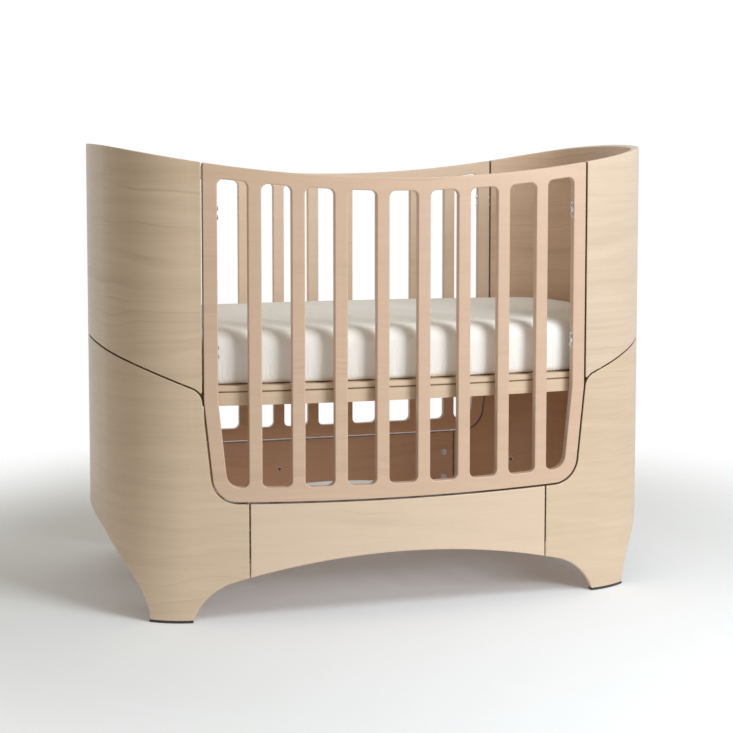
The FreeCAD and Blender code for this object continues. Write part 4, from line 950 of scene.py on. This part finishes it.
@dataclass
class Mattress:
    """The foam mattress in its fitted cotton cover."""

    voxel: float = 8.4 * MM
    start_inset: float = 3.5 * MM
    travel: float = 5 * MM
    floor_gap: float = 0.4 * MM
    frames: int = 20
    quality: int = 5
    cloth_mass: float = 0.3
    pressure: float = 4.0
    slack: float = -0.012
    weld: float = 0.01 * MM
    fold_height: float = 72 * MM
    fold_depth: float = 5.0 * MM
    fold_rate: float = 62.0
    fold_stretch: float = 0.15
    small_folds: float = 2.3
    small_share: float = 0.25
    fold_fade: float = 1.5
    fold_start: float = 0.25

    def build(self) -> None:
        """Make the mattress and put it in the CAD block's place."""
        piece = self.blank()
        modify(piece, "REMESH", mode="VOXEL", voxel_size=self.voxel)
        self.settle(piece)
        modify(piece, "SUBSURF", levels=1, render_levels=1)
        self.gather(piece)
        select_only(piece)
        bpy.ops.object.shade_smooth()
        piece.data.materials.clear()
        piece.data.materials.append(Finishes.get(COTTON))
        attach(piece, "mattress_body")
        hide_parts("mattress")
        LOG.info("mattress: %d faces", len(piece.data.polygons))

    def blank(self) -> bpy.types.Object:
        """Copy the CAD block, a little smaller so that it can swell.

        Returns:
            The new object.
        """
        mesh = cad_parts["mattress"].data.copy()
        mesh.name = "mattress_cover"
        piece = bpy.data.objects.new("mattress_cover", mesh)
        bpy.context.scene.collection.objects.link(piece)
        low, high = (Vector(corner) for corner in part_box("mattress"))
        middle, size = (low + high) / 2, high - low
        work = bmesh.new()
        work.from_mesh(mesh)
        bmesh.ops.remove_doubles(work, verts=work.verts, dist=self.weld)
        for vertex in work.verts:
            for axis in (0, 1):
                share = 1 - 2 * self.start_inset / size[axis]
                vertex.co[axis] = middle[axis] + (vertex.co[axis] - middle[axis]) * share
            share = 1 - (self.start_inset + self.floor_gap) / size.z
            vertex.co.z = low.z + self.floor_gap + (vertex.co.z - low.z) * share
        work.to_mesh(mesh)
        work.free()
        return piece

    def settle(self, piece: bpy.types.Object) -> None:
        """Swell the cover as cloth over its foam, and keep the result.

        Args:
            piece: The remeshed cover.
        """
        before = [vertex.co.copy() for vertex in piece.data.vertices]
        select_only(piece)
        cloth = piece.modifiers.new("cover", "CLOTH")
        cloth.settings.quality = self.quality
        cloth.settings.mass = self.cloth_mass
        cloth.settings.use_pressure = True
        cloth.settings.uniform_pressure_force = self.pressure
        cloth.settings.shrink_min = self.slack
        cloth.settings.effector_weights.gravity = 0.0
        scene = bpy.context.scene
        for number in range(1, self.frames + 1):
            scene.frame_set(number)
        bpy.ops.object.modifier_apply(modifier="cover")
        scene.frame_set(1)
        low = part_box("mattress")[0][2]
        for vertex, start in zip(piece.data.vertices, before):
            move = vertex.co - start
            if move.length > self.travel:
                move *= self.travel / move.length
            vertex.co = start + move
            if start.z < low + self.start_inset + self.voxel:
                vertex.co.z = max(start.z, low + self.floor_gap)

    def gather(self, piece: bpy.types.Object) -> None:
        """Press small upright folds into the sides, where the cover is drawn under the foam.

        Args:
            piece: The settled cover.
        """
        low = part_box("mattress")[0][2]
        outwards = [vertex.normal.copy() for vertex in piece.data.vertices]
        for vertex, out in zip(piece.data.vertices, outwards):
            x, y, z = vertex.co
            rise = (z - low) / self.fold_height
            if rise >= 1:
                continue
            across = Vector((x, y, self.fold_stretch * z)) * self.fold_rate
            small = self.small_share * noise.noise(across * self.small_folds)
            fold = 0.5 + 0.5 * noise.noise(across) + small
            fade = (1 - rise) ** self.fold_fade * min(1.0, rise / self.fold_start)
            upright = 1 - abs(out.z)
            vertex.co = vertex.co - out * (self.fold_depth * max(0.0, fold) * fade * upright)


# ---------------------------------------------------------------- studio

@dataclass(frozen=True)
class Lamp:
    """A square softbox that looks at the crib's middle."""

    name: str
    place: Colour
    power: float
    size: float = 1.0
    colour: Colour = WHITE
    aim: Colour = (0.0, 0.0, 0.45)

    def build(self) -> None:
        """Hang the lamp."""
        data = bpy.data.lights.new(self.name, "AREA")
        data.energy = self.power
        data.size = self.size
        data.color = self.colour
        lamp = bpy.data.objects.new(self.name, data)
        bpy.context.scene.collection.objects.link(lamp)
        lamp.location = self.place
        ray = Vector(self.aim) - Vector(self.place)
        lamp.rotation_euler = ray.to_track_quat("-Z", "Y").to_euler()


LAMPS = (
    Lamp("key", (1.40, -2.40, 1.40), 36.5, colour=(0.94, 0.98, 1.0)),
    Lamp("high", (0.90, -1.56, 2.60), 25.0, colour=(0.94, 0.99, 1.0)),
)


@dataclass
class Studio:
    """Floor, backdrop, lights and camera."""

    eye: Colour = (-0.82066, -3.16749, 0.95051)
    turn: float = 0.25619
    dip: float = 0.06509
    lens: float = 70.205
    shift: float = -0.16
    room: Colour = (0.352, 0.322, 0.272)
    backdrop: Colour = (0.450, 0.440, 0.370)
    backdrop_start: Span = (-0.3, 0.3)
    sheen: float = 0.8
    floor_size: float = 80
    floor_fade: Span = (0.8, 1.7)
    floor_light: Colour = (0.91, 0.94, 1.0)
    floor_dark: Colour = (0.89, 0.92, 0.98)
    floor_spots: float = 6
    floor_glow: float = 0.07
    floor_roughness: float = 0.85
    floor_gloss: float = 0.1
    sensor: float = 36.0
    far: float = 200.0

    def build(self) -> None:
        """Set the studio up."""
        self.floor()
        self.surround()
        for lamp in LAMPS:
            lamp.build()
        self.camera()
        bpy.context.scene.view_settings.view_transform = "Standard"

    def floor(self) -> None:
        """Lay the pale floor."""
        bpy.ops.object.select_all(action="DESELECT")
        bpy.ops.mesh.primitive_plane_add(size=self.floor_size, location=(0, 0, 0))
        piece = bpy.context.object
        piece.name = "studio_floor"
        shader = Shader("pale_floor")
        grain = shader.noise((self.floor_spots,) * 3, 3.0)
        shader.set(Base_Color=shader.mix(grain, self.floor_light, self.floor_dark),
                   Roughness=self.floor_roughness, Specular_IOR_Level=self.floor_gloss,
                   Emission_Color=opaque(WHITE), Emission_Strength=self.floor_glow)
        x, y, _ = shader.parts()
        clear = shader.node("ShaderNodeBsdfTransparent", {}, {})
        far = (x * x + y * y).root().step(*self.floor_fade)
        both = shader.node("ShaderNodeMixShader", {}, {0: far, 1: shader.surface.outputs[0],
                                                       2: clear.outputs[0]})
        shader.feed(shader.tree.nodes["Material Output"].inputs[0], both.outputs[0])
        piece.data.materials.append(shader.material)

    def surround(self) -> None:
        """Light the crib softly from a warm room and a paler backdrop, and show white."""
        world = bpy.data.worlds.new("studio")
        bpy.context.scene.world = world
        world.use_nodes = True
        world.node_tree.nodes.clear()
        nodes = Nodes(world.node_tree)
        _, depth, _ = nodes.parts("Generated")
        behind = depth.step(*self.backdrop_start, "LINEAR")
        lit = nodes.node("ShaderNodeBackground", {},
                         {"Color": nodes.mix(behind, self.room, self.backdrop)})
        shown = nodes.node("ShaderNodeBackground", {}, {"Color": opaque(WHITE)})
        rays = nodes.node("ShaderNodeLightPath", {}, {}).outputs
        seen, mirrored = (Wire(nodes, rays[f"Is {kind} Ray"]) for kind in ("Camera", "Glossy"))
        both = nodes.node("ShaderNodeMixShader", {}, {
            0: mirrored * behind * self.sheen + seen, 1: lit.outputs[0], 2: shown.outputs[0]})
        nodes.node("ShaderNodeOutputWorld", {}, {"Surface": both.outputs[0]})

    def camera(self) -> None:
        """Set the camera up."""
        data = bpy.data.cameras.new("camera")
        data.sensor_width = self.sensor
        data.lens = self.lens
        data.shift_y = self.shift
        data.clip_end = self.far
        eye = bpy.data.objects.new("camera", data)
        bpy.context.scene.collection.objects.link(eye)
        eye.location = self.eye
        eye.rotation_euler = Euler((math.pi / 2 - self.dip, 0.0, -self.turn))
        bpy.context.scene.camera = eye


def main() -> None:
    """Build the crib's looks and the studio."""
    logging.basicConfig(level=logging.INFO, format="%(message)s")
    for assembly in (lower_frame(), crown(), front_panel(), bed_base(), Mattress()):
        assembly.build()
    Studio().build()


if __name__ == "__main__":
    main()
